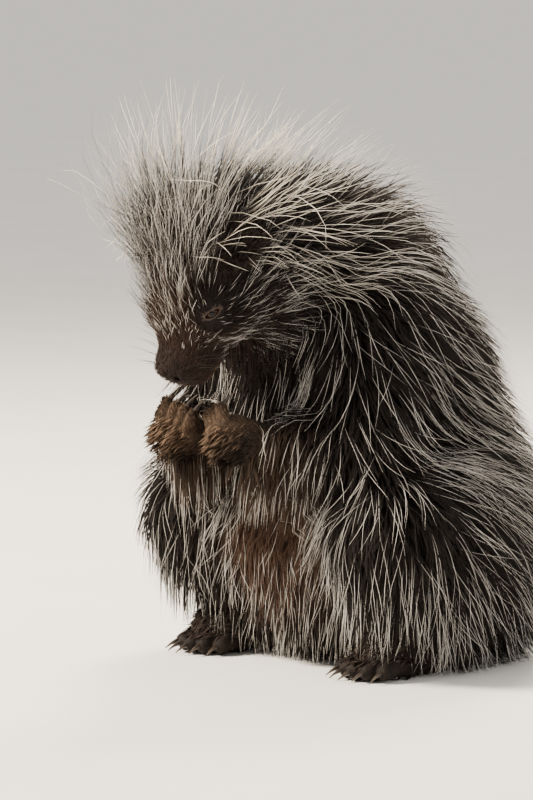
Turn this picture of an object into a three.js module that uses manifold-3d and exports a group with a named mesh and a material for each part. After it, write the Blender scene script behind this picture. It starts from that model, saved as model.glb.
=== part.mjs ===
// A North American porcupine, life-size and still. It sits up on its haunches, forepaws held to its mouth.
// Millimetres, +Z up. It faces -Y, its left side is +X, and the origin is on the floor under its seat.
import * as THREE from "three";
import { mergeVertices } from "three/addons/utils/BufferGeometryUtils.js";
import Module from "manifold-3d";

const wasm = await Module();
wasm.setup();

const vec = (x, y, z) => new THREE.Vector3(x, y, z);
const flip = (v, side) => vec(v.x * side, v.y, v.z);
const mix = (a, b, t) => a.clone().lerp(b, t);
const across = (a, b) => vec(0, 0, 0).crossVectors(a, b).normalize();
const SIDES = { left: 1, right: -1 };

// Space that touching pieces keep, and the share of the coat's depth that solid flesh and underfur fill.
const GAP = 0.35;
const CORE_SHARE = 0.42;

// Driving places of the skeleton, on the left side.
const HIP = vec(55, 42, 78);
const KNEE = vec(98, -46, 108);
const ANKLE = vec(93, 8, 28);
const HEEL = vec(93, 24, 18);
const TOE_ROOT = vec(90, -44, 16);
const SHOULDER = vec(58, -26, 248);
const ELBOW = vec(80, -58, 170);
const WRIST = vec(44, -112, 168);
const KNUCKLES = vec(31, -138, 178);
const SKULL = vec(0, -145, 281);
const TAIL_ROOT = vec(0, 118, 44);
const TAIL_MIDDLE = vec(-10, 205, 31);
const TAIL_TIP = vec(-34, 285, 24);

// The head looks down at the paws. Its axes run across to the left, back from the nose and out of the crown.
const HEAD_PITCH = THREE.MathUtils.degToRad(69);
const ACROSS = vec(1, 0, 0);
const BACK = vec(0, Math.cos(HEAD_PITCH), Math.sin(HEAD_PITCH));
const CROWN = vec(0, -Math.sin(HEAD_PITCH), Math.cos(HEAD_PITCH));
const FORWARD = BACK.clone().negate();
const DOWN = vec(0, 0, -1);
const UP = vec(0, 0, 1);
const REAR = vec(0, 1, 0);
const LEVEL = new THREE.Quaternion();
const frameOf = (x, y, z) =>
  new THREE.Quaternion().setFromRotationMatrix(new THREE.Matrix4().makeBasis(x, y, z));
const HEAD_FRAME = frameOf(ACROSS, BACK, CROWN);
const headShift = (aside, forward, up) =>
  vec(0, 0, 0).addScaledVector(ACROSS, aside).addScaledVector(FORWARD, forward).addScaledVector(CROWN, up);
const inHead = (aside, forward, up) => headShift(aside, forward, up).add(SKULL);
const headWay = (aside, forward, up) => headShift(aside, forward, up).normalize();

// A mass of flesh is a ball, an ellipsoid on the axes of a frame, or a limb, a cone with round ends.
// coat is how far the hair's tips stand off it. Where a mass has a proud side, they stand a quarter as far
// away from that side: turn says how near to it they begin to lie down. blend rounds it into its neighbours.
const BARE_SHARE = 0.25;
const FADE = 0.8;
const TRUNK_BLEND = 26;
const HEAD_BLEND = 10;
const PAW_BLEND = 4;
const ball = (centre, radii, coat, { blend = TRUNK_BLEND, proud, turn = 0, frame = LEVEL } = {}) => ({
  centre, radii, coat, coatEnd: coat, blend, proud, turn, frame,
});
const limb = (from, to, r0, r1, coat, { blend = TRUNK_BLEND, proud, turn = 0, coatEnd = coat } = {}) => ({
  from, to, r0, r1, coat, coatEnd, blend, proud, turn,
});
const headBall = (centre, radii, coat, more) =>
  ball(centre, radii, coat, { blend: HEAD_BLEND, frame: HEAD_FRAME, ...more });
const mirrored = (mass, side) => ({
  ...mass,
  centre: mass.centre && flip(mass.centre, side),
  from: mass.from && flip(mass.from, side),
  to: mass.to && flip(mass.to, side),
  proud: mass.proud && flip(mass.proud, side),
});
const bothSides = (mass) => Object.values(SIDES).map((side) => mirrored(mass, side));

const trunk = [
  ball(vec(0, 40, 102), vec(90, 88, 104), 48, { proud: REAR }),
  ball(vec(0, 17, 196), vec(80, 75, 94), 44, { proud: REAR }),
  ball(vec(0, -18, 246), vec(72, 56, 56), 44, { proud: REAR }),
  ball(vec(0, -18, 190), vec(66, 58, 74), 22),
  ball(vec(0, -8, 102), vec(78, 68, 86), 14),
  limb(vec(0, -8, 280), inHead(0, -38, -18), 54, 34, 58, { proud: UP, turn: 0.4, coatEnd: 44 }),
  limb(vec(0, -30, 262), inHead(0, -14, -26), 48, 31, 14),
  limb(TAIL_ROOT, TAIL_MIDDLE, 33, 25, 24),
  limb(TAIL_MIDDLE, TAIL_TIP, 25, 17, 24),
  ...bothSides(limb(HIP, KNEE, 50, 33, 36, { proud: ACROSS })),
  ...bothSides(limb(KNEE, ANKLE, 30, 19, 28, { proud: ACROSS })),
  ...bothSides(ball(vec(62, 24, 82), vec(50, 66, 72), 42, { proud: ACROSS })),
  ...bothSides(limb(SHOULDER, ELBOW, 33, 23, 34, { proud: ACROSS })),
];
const skull = [
  headBall(inHead(0, -16, 0), vec(32, 44, 33), 8),
  headBall(inHead(0, -32, 8), vec(24, 28, 25), 52, { proud: mix(BACK, CROWN, 0.5).normalize(), turn: 0.75 }),
  ...bothSides(headBall(inHead(17, 2, -10), vec(19, 28, 22), 9)),
  ...bothSides(headBall(inHead(18, 16, 14), vec(9, 14, 8), 4)),
  limb(inHead(0, 14, 2), inHead(0, 44, -3), 27, 19, 4, { blend: HEAD_BLEND }),
  ...bothSides(headBall(inHead(8, 50, -7), vec(12, 13, 13), 3)),
  headBall(inHead(0, 57, 6), vec(12, 8, 9), 1),
  limb(inHead(0, 0, -22), inHead(0, 38, -21), 19, 11, 6, { blend: HEAD_BLEND }),
];
const body = [...trunk, ...skull];
const forearm = [limb(ELBOW, WRIST, 22, 14, 20)];
const palm = [limb(WRIST, KNUCKLES, 15, 17, 3, { blend: PAW_BLEND })];
const sole = [limb(HEEL, TOE_ROOT, 17, 20, 3, { blend: PAW_BLEND })];

function coatOf(mass, p, middle, along) {
  const coat = mass.coat + (mass.coatEnd - mass.coat) * along;
  if (!mass.proud) return coat;
  const facing = p.clone().sub(middle).normalize().dot(mass.proud);
  const raised = THREE.MathUtils.smoothstep(facing, mass.turn - FADE, mass.turn);
  return coat * (BARE_SHARE + (1 - BARE_SHARE) * raised);
}

// How far the point p is outside the mass once its hair is as deep as share of the coat.
const TINY = 1e-9;
function distance(mass, p, share) {
  if (mass.radii) {
    const r = mass.radii.clone().addScalar(share * coatOf(mass, p, mass.centre, 0));
    const q = p.clone().sub(mass.centre).applyQuaternion(mass.frame.clone().invert()).divide(r);
    const slope = q.clone().divide(r).length();
    return slope < TINY ? -Math.min(r.x, r.y, r.z) : (q.length() * (q.length() - 1)) / slope;
  }
  const axis = mass.to.clone().sub(mass.from);
  const along = THREE.MathUtils.clamp(p.clone().sub(mass.from).dot(axis) / axis.lengthSq(), 0, 1);
  const nearest = mix(mass.from, mass.to, along);
  const radius = mass.r0 + (mass.r1 - mass.r0) * along;
  return p.distanceTo(nearest) - radius - share * coatOf(mass, p, nearest, along);
}

// One smooth skin over several masses.
const FAR = 1200;
const skinOf = (masses) => (p, share) =>
  masses.reduce((near, mass) => {
    const d = distance(mass, p, share);
    const h = Math.max(mass.blend - Math.abs(near - d), 0) / mass.blend;
    return Math.min(near, d) - (h * h * mass.blend) / 4;
  }, FAR);

const SLOPE_STEP = 0.5;
function slopeOf(field, p) {
  const at = (way, step) => field(p.clone().addScaledVector(way, step));
  const rise = (way) => at(way, SLOPE_STEP) - at(way, -SLOPE_STEP);
  return vec(rise(ACROSS), rise(REAR), rise(UP)).divideScalar(2 * SLOPE_STEP);
}

// The box that holds the masses with their coat.
function boxOf(masses, cell) {
  const box = new THREE.Box3();
  for (const mass of masses) {
    const ends = mass.radii ? [mass.centre] : [mass.from, mass.to];
    const radius = mass.radii ? Math.max(...mass.radii.toArray()) : Math.max(mass.r0, mass.r1);
    for (const end of ends)
      for (const sign of [1, -1]) box.expandByPoint(end.clone().addScalar(sign * (radius + mass.coat)));
  }
  return box.expandByScalar(2 * cell);
}

function solidFrom(points, faces) {
  return new wasm.Manifold(
    new wasm.Mesh({ numProp: 3, vertProperties: new Float32Array(points), triVerts: new Uint32Array(faces) })
  );
}

// The closed surface where the field is zero: each cell of a grid that it crosses holds one vertex.
const SETTLE_PASSES = 3;
function surface(masses, cell, box = boxOf(masses, cell)) {
  const skin = skinOf(masses);
  const field = (p) => skin(p, CORE_SHARE);
  const count = box.getSize(vec(0, 0, 0)).divideScalar(cell).ceil().addScalar(1).toArray();
  const stride = [1, count[0], count[0] * count[1]];
  const place = (i, j, k) => vec(i, j, k).multiplyScalar(cell).add(box.min);
  const onEdge = (...index) => index.some((n, axis) => n === 0 || n === count[axis] - 1);
  const values = new Float32Array(count[0] * count[1] * count[2]);
  for (let k = 0, n = 0; k < count[2]; k++)
    for (let j = 0; j < count[1]; j++)
      for (let i = 0; i < count[0]; i++, n++) values[n] = onEdge(i, j, k) ? cell : field(place(i, j, k));
  const corners = Array.from({ length: 8 }, (_, c) => [c & 1, (c >> 1) & 1, c >> 2]);
  const edges = corners.flatMap((a, n) =>
    [0, 1, 2].filter((axis) => !a[axis]).map((axis) => [a, corners[n | (1 << axis)]])
  );
  const points = [];
  const pointIn = new Map();
  for (let k = 0; k < count[2] - 1; k++)
    for (let j = 0; j < count[1] - 1; j++)
      for (let i = 0; i < count[0] - 1; i++) {
        const at = ([x, y, z]) => values[i + x + (j + y) * stride[1] + (k + z) * stride[2]];
        const crossed = edges.filter(([a, b]) => at(a) < 0 !== at(b) < 0);
        if (!crossed.length) continue;
        const point = vec(0, 0, 0);
        for (const [a, b] of crossed) point.add(mix(vec(...a), vec(...b), at(a) / (at(a) - at(b))));
        point.divideScalar(crossed.length).add(vec(i, j, k)).multiplyScalar(cell).add(box.min);
        for (let pass = 0; pass < SETTLE_PASSES; pass++) {
          const slope = slopeOf(field, point);
          point.addScaledVector(slope, -field(point) / slope.lengthSq());
        }
        point.clamp(place(i, j, k), place(i + 1, j + 1, k + 1));
        pointIn.set(i + j * stride[1] + k * stride[2], points.length / 3);
        points.push(...point.toArray());
      }
  const apart = (a, b) => Math.hypot(...[0, 1, 2].map((n) => points[3 * a + n] - points[3 * b + n]));
  const faces = [];
  for (let k = 0; k < count[2] - 1; k++)
    for (let j = 0; j < count[1] - 1; j++)
      for (let i = 0; i < count[0] - 1; i++)
        for (let axis = 0; axis < 3; axis++) {
          const n = i + j * stride[1] + k * stride[2];
          const inside = values[n] < 0;
          if (inside === values[n + stride[axis]] < 0) continue;
          const [u, v] = [stride[(axis + 1) % 3], stride[(axis + 2) % 3]];
          const ring = [n - u - v, n - v, n, n - u].map((c) => pointIn.get(c));
          const [a, b, c, d] = inside ? ring : ring.reverse();
          faces.push(...(apart(a, c) < apart(b, d) ? [a, b, c, a, c, d] : [a, b, d, b, c, d]));
        }
  return solidFrom(points, faces);
}
const limbOf = (masses, cell, side) => surface(masses.map((mass) => mirrored(mass, side)), cell);

// A three.js geometry as a solid, put in its place.
const MERGE = 1e-4;
function solidOf(geometry, matrix = new THREE.Matrix4()) {
  const bare = geometry.index ? geometry.toNonIndexed() : geometry.clone();
  bare.deleteAttribute("normal");
  bare.deleteAttribute("uv");
  const merged = mergeVertices(bare.applyMatrix4(matrix), MERGE);
  return solidFrom(merged.attributes.position.array, merged.index.array);
}
const matrixOf = (centre, frame, size) => new THREE.Matrix4().compose(centre, frame, size);
const egg = (centre, radii, frame = LEVEL, sides = 14) =>
  solidOf(new THREE.SphereGeometry(1, sides, Math.round(sides * 0.6)), matrixOf(centre, frame, radii));
const block = (centre, size, frame = LEVEL) =>
  solidOf(new THREE.BoxGeometry(1, 1, 1), matrixOf(centre, frame, size));

// A closed solid through rings of points that ends in a tip. Seen from the root, each ring turns clockwise.
function spike(rings, tip) {
  const sides = rings[0].length;
  const points = [...rings.flat(), tip].flatMap((p) => p.toArray());
  const faces = [];
  for (let s = 1; s < sides - 1; s++) faces.push(0, s + 1, s);
  for (let r = 0; r < rings.length; r++)
    for (let s = 0; s < sides; s++) {
      const [a, b] = [r * sides + s, r * sides + ((s + 1) % sides)];
      if (r === rings.length - 1) faces.push(a, b, rings.length * sides);
      else faces.push(a, b, b + sides, a, b + sides, a + sides);
    }
  return solidFrom(points, faces);
}
const ovalRing = (centre, sides, wide, tall) =>
  Array.from({ length: sides }, (_, n) => {
    const turn = (2 * Math.PI * n) / sides;
    return centre.clone().addScaledVector(wide, Math.cos(turn)).addScaledVector(tall, Math.sin(turn));
  });

// A tube of a given radius along a curve.
const TUBE_STEPS = 10;
const TUBE_SIDES = 5;
function tube(curve, radius, steps = TUBE_STEPS) {
  const corners = ovalRing(vec(0, 0, 0), TUBE_SIDES, vec(radius, 0, 0), vec(0, radius, 0));
  const shape = new THREE.Shape(corners.map(({ x, y }) => new THREE.Vector2(x, y)));
  return solidOf(new THREE.ExtrudeGeometry(shape, { steps, extrudePath: curve, bevelEnabled: false }));
}

const join = (solids) => solids.reduce((all, one) => all.add(one));
const mirrorOf = (side) => new THREE.Matrix4().makeScale(side, 1, 1).elements;

// The largest closed surface of a solid: loose scraps go, and a hollow that fusing sealed is filled.
function largest(solid) {
  return solid.decompose().reduce((best, piece) => (piece.volume() > best.volume() ? piece : best));
}
const clearOf = (solid, ...cutters) =>
  largest(cutters.reduce((rest, cutter) => rest.subtract(cutter), solid));

// A smooth solid swollen by the gap along its corners' mean normals, to cut its neighbours clear of it.
function swollen(solid) {
  const mesh = solid.getMesh();
  const at = (n) => vec(...mesh.vertProperties.subarray(3 * n, 3 * n + 3));
  const normals = Array.from({ length: mesh.numVert }, () => vec(0, 0, 0));
  for (let n = 0; n < mesh.triVerts.length; n += 3) {
    const ids = [...mesh.triVerts.subarray(n, n + 3)];
    const [a, b, c] = ids.map(at);
    const face = across(b.clone().sub(a), c.clone().sub(a));
    [[a, b, c], [b, c, a], [c, a, b]].forEach(([here, next, last], corner) => {
      const angle = next.clone().sub(here).angleTo(last.clone().sub(here));
      normals[ids[corner]].addScaledVector(face, angle || 0);
    });
  }
  const moved = normals.flatMap((normal, n) => at(n).addScaledVector(normal.normalize(), GAP).toArray());
  return solidFrom(moved, mesh.triVerts);
}

// The body is modelled whole and parted by thin cuts. A region grows by the gap where it cuts another.
function beyond(point, way, grow = 0) {
  const out = way.clone().normalize();
  const side = across(out, Math.abs(out.x) > 0.9 ? UP : ACROSS);
  const centre = point.clone().addScaledVector(out, FAR / 2 - grow);
  return block(centre, vec(FAR, FAR, FAR), frameOf(across(side, out), side, out));
}
const floor = beyond(vec(0, 0, 0), DOWN);
const HEAD_CUT = inHead(0, -24, -24);
const HEADWARD = vec(0, -0.91, -0.41);
const JAW_CUT = inHead(0, 0, -48);
const NECK_CUT = vec(0, -52, 300);
const NECKWARD = vec(0, -0.97, 0.25);
const THROAT_CUT = vec(0, 0, 244);
const TAIL_CUT = vec(0, 124, 40);
const TAILWARD = vec(0, 0.85, -0.53);
const THIGH = { at: vec(78, -16, 76), reach: vec(104, 120, 112), inner: 46 };
const SHANK = { at: ANKLE, reach: vec(40, 42, 60), inner: 46, top: vec(0, 0, 46) };
const UPPER_ARM = { at: vec(80, -54, 212), reach: vec(70, 66, 84), inner: 42 };
const around = ({ at, reach, inner }, side, grow) => {
  const outward = beyond(vec(side * inner, 0, 0), vec(side, 0, 0), grow);
  return egg(flip(at, side), reach.clone().addScalar(grow)).intersect(outward);
};
const regions = {
  head: (grow) => beyond(HEAD_CUT, HEADWARD, grow).intersect(beyond(JAW_CUT, CROWN, grow)),
};
for (const [name, side] of Object.entries(SIDES)) {
  regions["shank_" + name] = (grow) => around(SHANK, side, grow).intersect(beyond(SHANK.top, DOWN, grow));
  regions["thigh_" + name] = (grow) => around(THIGH, side, grow);
  regions["upper_arm_" + name] = (grow) => around(UPPER_ARM, side, grow);
}
regions.neck = (grow) => beyond(NECK_CUT, NECKWARD, grow).intersect(beyond(THROAT_CUT, UP, grow));
regions.tail = (grow) => beyond(TAIL_CUT, TAILWARD, grow);
regions.torso = () => beyond(vec(0, 0, 0), UP);
const parted = Object.keys(regions);
const domainOf = (name, grow) =>
  parted
    .slice(0, parted.indexOf(name))
    .reduce((rest, earlier) => rest.subtract(regions[earlier](GAP - grow)), regions[name](grow));

// Every node's flesh, and the same swollen by the gap, which is what no other node may enter.
const TRUNK_CELL = 34;
const HEAD_CELL = 11;
const HEAD_BOX = new THREE.Box3(vec(-110, -270, 150), vec(110, -40, 440));
const wholeBody = surface(body, TRUNK_CELL);
const wholeHead = surface(body, HEAD_CELL, HEAD_BOX);
const swollenBody = swollen(wholeBody);
const swollenHead = swollen(wholeHead);
const flesh = new Map();
const taken = new Map();
for (const name of parted) {
  const [whole, fat] = name === "head" ? [wholeHead, swollenHead] : [wholeBody, swollenBody];
  flesh.set(name, clearOf(whole.intersect(domainOf(name, 0)), floor));
  taken.set(name, fat.intersect(domainOf(name, GAP)));
}

// Face: the eyes sit in sockets under almond lids, with nostrils, a cleft lip and the line of the mouth.
const EYE_RADIUS = 6.3;
const LID = 1.5;
const ALMOND = { radii: vec(9, 9, 10), rise: 5.6 };
const FINE_SIDES = 12;
const eyeAt = (side) => inHead(25.5 * side, 14, 7);
const eyeWay = (side) => headWay(0.86 * side, 0.28, 0.42);
const innerCorner = (side) => headWay(-0.48 * side, 0.74, 0.49);
const eyeBall = (side, grow) =>
  egg(eyeAt(side), vec(1, 1, 1).multiplyScalar(EYE_RADIUS + grow), LEVEL, FINE_SIDES);
function almond(side) {
  const out = eyeWay(side);
  const corner = innerCorner(side).projectOnPlane(out).normalize();
  const tall = across(out, corner);
  const lens = (sign) => {
    const centre = eyeAt(side).addScaledVector(out, EYE_RADIUS).addScaledVector(tall, sign * ALMOND.rise);
    return egg(centre, ALMOND.radii, frameOf(corner, tall, out), FINE_SIDES);
  };
  return lens(1).intersect(lens(-1));
}
const MOUTH = [[18, 32, -13], [19, 44, -13.5], [13, 56, -13], [0, 62, -11]];
function alongMouth(radius, inset, ahead, rise) {
  const half = MOUTH.map(([aside, forward, up]) => inHead(aside * inset, forward + ahead, up + rise));
  const other = half.slice(0, -1).reverse().map((p) => flip(p, -1));
  return tube(new THREE.CatmullRomCurve3([...half, ...other]), radius);
}
const upperLip = alongMouth(3.4, 0.93, -1, 3.2);
const lowerLip = alongMouth(2.8, 0.86, -1, -3);
const mouthLine = alongMouth(1.5, 1.12, 2, 0);
const cleft = tube(new THREE.LineCurve3(inHead(0, 66, 1), inHead(0, 63.5, -11)), 1, 2);
const NOSTRIL = { radii: vec(2.2, 4.5, 1.7), turn: 0.6 };
function nostril(side) {
  const turn = new THREE.Quaternion().setFromAxisAngle(UP, NOSTRIL.turn * side);
  return egg(inHead(6 * side, 64, 4), NOSTRIL.radii, HEAD_FRAME.clone().multiply(turn), 8);
}

// Each ear is a short round cup, and the hair keeps clear of its mouth.
const EAR = { shell: vec(13, 16, 9), cup: vec(10.5, 13.2, 9), seat: 3, deep: 6.5, mouth: vec(18, 20, 18) };
const earAt = (side) => inHead(37 * side, -40, 6);
const earWay = (side) => headWay(0.8 * side, 0.3, 0.5);
function ear(side) {
  const out = earWay(side);
  const rise = headWay(0.5 * side, -1, 0).projectOnPlane(out).normalize();
  const frame = frameOf(across(rise, out), rise, out);
  const shell = egg(earAt(side).addScaledVector(out, EAR.seat), EAR.shell, frame, 10);
  return shell.subtract(egg(earAt(side).addScaledVector(out, EAR.seat + EAR.deep), EAR.cup, frame, 9));
}
let face = flesh.get("head").add(upperLip).add(lowerLip).subtract(mouthLine).subtract(cleft);
for (const [name, side] of Object.entries(SIDES)) {
  face = face.add(eyeBall(side, LID)).subtract(eyeBall(side, GAP));
  face = face.subtract(almond(side)).subtract(nostril(side));
  flesh.set("eye_" + name, eyeBall(side, 0));
  flesh.set("ear_" + name, clearOf(ear(side), swollenHead, swollenBody));
  taken.set("ear_" + name, egg(earAt(side).addScaledVector(earWay(side), 10), EAR.mouth, LEVEL, 10));
}
flesh.set("head", largest(face));

// Forepaw: the fingers leave the knuckles side by side and curl over the palm, which faces the mouth.
const FINGERS = 4;
const FINGER_PITCH = 7.6;
const FINGER_RADII = [7, 5.8, 5];
const HAND_ALONG = KNUCKLES.clone().sub(WRIST).normalize();
const HAND_PALM = vec(-0.3, 0.2, 0.88).projectOnPlane(HAND_ALONG).normalize();
const HAND_SPREAD = across(HAND_ALONG, HAND_PALM);
const inHand = (from, along, over) =>
  from.clone().addScaledVector(HAND_ALONG, along).addScaledVector(HAND_PALM, over);
function finger(i) {
  const root = KNUCKLES.clone().addScaledVector(HAND_SPREAD, (i - (FINGERS - 1) / 2) * FINGER_PITCH);
  return {
    root,
    middle: inHand(root, 13, 3),
    tip: inHand(root, 18, 14),
    point: HAND_PALM.clone().addScaledVector(HAND_ALONG, -0.1).normalize(),
    curl: HAND_ALONG.clone().negate(),
    radii: FINGER_RADII,
  };
}

// Hind foot: flat on the floor, with its toes spread a little and the middle ones longest.
const TOES = 5;
const TOE_PITCH = 8.5;
const TOE_LENGTH = 30;
const TOE_SPREAD = 1.25;
const TOE_ARCH = 2.5;
const TOE_RADII = [9.5, 8, 6.8];
function toe(i) {
  const aside = i - (TOES - 1) / 2;
  const root = TOE_ROOT.clone().add(vec(aside * TOE_PITCH, 4, -6));
  const ahead = TOE_LENGTH - TOE_ARCH * aside ** 2;
  const tip = TOE_ROOT.clone().add(vec(aside * TOE_PITCH * TOE_SPREAD, -ahead, -8.5));
  return {
    root,
    middle: mix(root, tip, 0.5).add(vec(0, 0, 3)),
    tip,
    point: vec(aside * 0.08, -1, 0.05).normalize(),
    curl: DOWN,
    radii: TOE_RADII,
  };
}

// A digit is a jointed tube with a round end, and a claw curves down from it.
const DIGIT_SIDES = 5;
const CLAW_SIDES = 4;
const CLAW_RADIUS = 2.6;
const CLAW_LENGTH = 15;
const CLAW_CURVE = 0.4;
const CLAW_TAPER = 0.75;
function digitSolid({ root, middle, tip, point, curl, radii: [r0, r1, r2] }) {
  const side = across(curl, point);
  const first = middle.clone().sub(root).normalize();
  const second = tip.clone().sub(middle).normalize();
  const ring = (centre, along, r) =>
    ovalRing(centre, DIGIT_SIDES, side.clone().multiplyScalar(r), across(along, side).multiplyScalar(r));
  const beyondTip = (share) => tip.clone().addScaledVector(second, r2 * share);
  const bend = first.clone().add(second).normalize();
  const rings = [ring(root, first, r0), ring(middle, bend, r1), ring(tip, second, r2)];
  return spike([...rings, ring(beyondTip(0.7), second, r2 * 0.6)], beyondTip(1));
}
function claw({ tip, point, curl, radii }) {
  const side = across(curl, point);
  const centreAt = (t) => {
    const ahead = tip.clone().addScaledVector(point, radii[2] * 0.4 + CLAW_LENGTH * t);
    return ahead.addScaledVector(curl, CLAW_LENGTH * CLAW_CURVE * t * t);
  };
  const rings = [0, 0.6].map((t) => {
    const r = CLAW_RADIUS * (1 - CLAW_TAPER * t);
    const wide = side.clone().multiplyScalar(0.8 * r);
    return ovalRing(centreAt(t), CLAW_SIDES, wide, curl.clone().multiplyScalar(r));
  });
  return spike(rings, centreAt(1));
}
const fingers = Array.from({ length: FINGERS }, (_, i) => finger(i));
const toes = Array.from({ length: TOES }, (_, i) => toe(i));
const pawOf = (masses, cell, digits, side) =>
  limbOf(masses, cell, side).add(join(digits.map(digitSolid)).transform(mirrorOf(side)));

// The forearm ends against the body, each paw against its limb, and a claw against its digit.
for (const [name, side] of Object.entries(SIDES)) {
  const arm = limbOf(forearm, 14, side);
  const outer = {
    forearm: { solid: arm, against: [swollenBody, swollenHead], digits: [] },
    hand: {
      solid: pawOf(palm, 12, fingers, side),
      against: [swollenBody, swollenHead, swollen(arm)],
      digits: fingers,
    },
    foot: { solid: pawOf(sole, 13, toes, side), against: [swollenBody], digits: toes },
  };
  for (const [kind, { solid, against, digits }] of Object.entries(outer)) {
    const fat = swollen(solid);
    flesh.set(`${kind}_${name}`, clearOf(solid, ...against, floor));
    taken.set(`${kind}_${name}`, fat);
    digits.forEach((digit, n) => {
      flesh.set(`claw_${kind}_${name}_${n + 1}`, clearOf(claw(digit).transform(mirrorOf(side)), fat, floor));
    });
  }
}

// The comb says, near each of these places, which way the hair lies, how long and wide its locks are,
// and at what share of the coat's depth their tips stand.
const comb = (at, reach, way, length, width, tips = 1) => ({ at, reach, way, length, width, tips });
const combBoth = (at, reach, way, ...sizes) =>
  Object.values(SIDES).map((side) => comb(flip(at, side), reach, flip(way, side), ...sizes));
const combs = [
  comb(inHead(0, -36, 34), 26, BACK, 92, 10.5, 1.75),
  comb(inHead(0, 0, 34), 26, BACK, 44, 9, 1.15),
  ...combBoth(inHead(36, -6, -8), 30, headWay(0.1, -1, -0.5), 26, 16, 1.2),
  comb(vec(0, -96, 372), 42, vec(0, 1, 0.7), 92, 14, 1.6),
  ...combBoth(vec(62, -72, 330), 44, vec(0.25, 1, -0.15), 80, 20, 1.15),
  comb(vec(0, -10, 366), 60, REAR, 92, 28, 1.15),
  comb(vec(0, 96, 300), 80, vec(0, 0.6, -1), 96, 34, 1.05),
  comb(vec(0, 150, 190), 80, vec(0, 0.15, -1), 92, 38),
  comb(vec(0, 140, 80), 70, vec(0, 0.4, -1), 80, 38),
  ...combBoth(vec(128, 40, 220), 80, vec(0, 0.8, -0.8), 92, 36),
  ...combBoth(vec(118, -40, 240), 50, vec(0, 0.35, -1), 76, 30),
  ...combBoth(vec(105, -70, 170), 40, vec(0, 0.1, -1), 62, 24),
  ...combBoth(vec(60, -98, 165), 34, vec(0, 0.15, -1), 48, 18),
  comb(vec(0, -90, 200), 50, DOWN, 42, 30),
  comb(vec(0, -86, 90), 60, vec(0, -0.1, -1), 36, 30),
  ...combBoth(vec(150, 50, 100), 70, vec(0, 0.55, -0.85), 84, 38),
  ...combBoth(vec(120, -90, 120), 50, vec(0, -0.05, -1), 74, 32),
  ...combBoth(vec(100, -20, 40), 40, vec(0, -0.05, -1), 56, 26),
  comb(mix(TAIL_ROOT, TAIL_MIDDLE, 0.7), 50, vec(-0.05, 1, -0.12), 60, 34),
  comb(TAIL_TIP, 50, vec(-0.28, 1, -0.1), 52, 30),
];
function combAt(p) {
  const found = { way: vec(0, 0, 0), length: 0, width: 0, tips: 0 };
  const weights = combs.map(({ at, reach }) => Math.exp(-p.distanceToSquared(at) / reach ** 2) + TINY);
  const sum = weights.reduce((all, weight) => all + weight);
  combs.forEach((one, n) => {
    found.way.addScaledVector(one.way, weights[n] / sum);
    for (const key of ["length", "width", "tips"]) found[key] += (one[key] * weights[n]) / sum;
  });
  return found;
}

// Every run draws the same random numbers.
const SEED = 23;
function randomFrom(seed) {
  let state = seed;
  return () => {
    state = (state + 0x6d2b79f5) | 0;
    let t = Math.imul(state ^ (state >>> 15), 1 | state);
    t = (t + Math.imul(t ^ (t >>> 7), 61 | t)) ^ t;
    return ((t ^ (t >>> 14)) >>> 0) / 2 ** 32;
  };
}
const random = randomFrom(SEED);
const between = (low, high) => low + (high - low) * random();

// A lock's path rises from the flesh to the depth of its tip while it follows the comb, and it hangs free
// where the comb leads it off the body.
const LOCK_STEPS = 3;
const LOCK_RISE = 0.75;
const HANGS = 0.5;
const FLOOR_CLEAR = 2;
const LEAST_RUN = 0.25;
const STRAY = 0.2;
function lockPath(skin, root, { length, tips }) {
  const outAt = (p) => slopeOf((q) => skin(q, 1), p).normalize();
  const long = length * between(0.85, 1.12);
  const high = tips * between(0.92, 1.08);
  const stray = between(-STRAY, STRAY);
  const depth = skin(root, CORE_SHARE) - skin(root, high);
  const run = Math.sqrt(Math.max(long ** 2 - depth ** 2, (LEAST_RUN * long) ** 2)) / LOCK_STEPS;
  const path = [{ at: root, out: outAt(root) }];
  const p = root.clone();
  for (let step = 1; step <= LOCK_STEPS; step++) {
    const share = CORE_SHARE + (high - CORE_SHARE) * (step / LOCK_STEPS) ** LOCK_RISE;
    const out = outAt(p);
    const way = combAt(p).way.normalize().applyAxisAngle(out, stray);
    const hangs = way.dot(out) > HANGS;
    p.addScaledVector(hangs ? way : way.projectOnPlane(out).normalize(), run);
    const above = skin(p, share);
    if (above < 0 || !hangs) p.addScaledVector(outAt(p), -above);
    p.z = Math.max(p.z, FLOOR_CLEAR);
    path.push({ at: p.clone(), out: outAt(p) });
  }
  path.forEach((place, n) => {
    const [before, after] = [path[Math.max(n - 1, 0)], path[Math.min(n + 1, LOCK_STEPS)]];
    place.along = after.at.clone().sub(before.at).normalize();
  });
  return path;
}

// A lock is flat beneath and ridged above, and it tapers to its tip. grow makes it fatter, to cut others.
const LOCK_WIDTHS = [0.65, 1, 0.7];
const LOCK_THICKNESS = [1, 1, 0.7];
const LOCK_FLATNESS = 0.2;
const LOCK_SINK = 7;
const ROLL = 0.25;
function lockSolid(path, width, roll, grow) {
  const thick = width * LOCK_FLATNESS;
  const rings = LOCK_WIDTHS.map((share, n) => {
    const { at, out, along } = path[n];
    const side = across(along, out).applyAxisAngle(along, roll);
    const ridge = across(side, along);
    const centre = at.clone();
    if (n === 0) centre.addScaledVector(out, -LOCK_SINK).addScaledVector(along, -LOCK_SINK / 2 - 2 * grow);
    const half = (width / 2) * share + 2 * grow;
    const edge = (sign) => centre.clone().addScaledVector(side, sign * half).addScaledVector(ridge, -grow);
    return [centre.clone().addScaledVector(ridge, thick * LOCK_THICKNESS[n] + 2 * grow), edge(1), edge(-1)];
  });
  const end = path[LOCK_STEPS];
  return spike(rings, end.at.clone().addScaledVector(end.along, 3 * grow));
}

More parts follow.
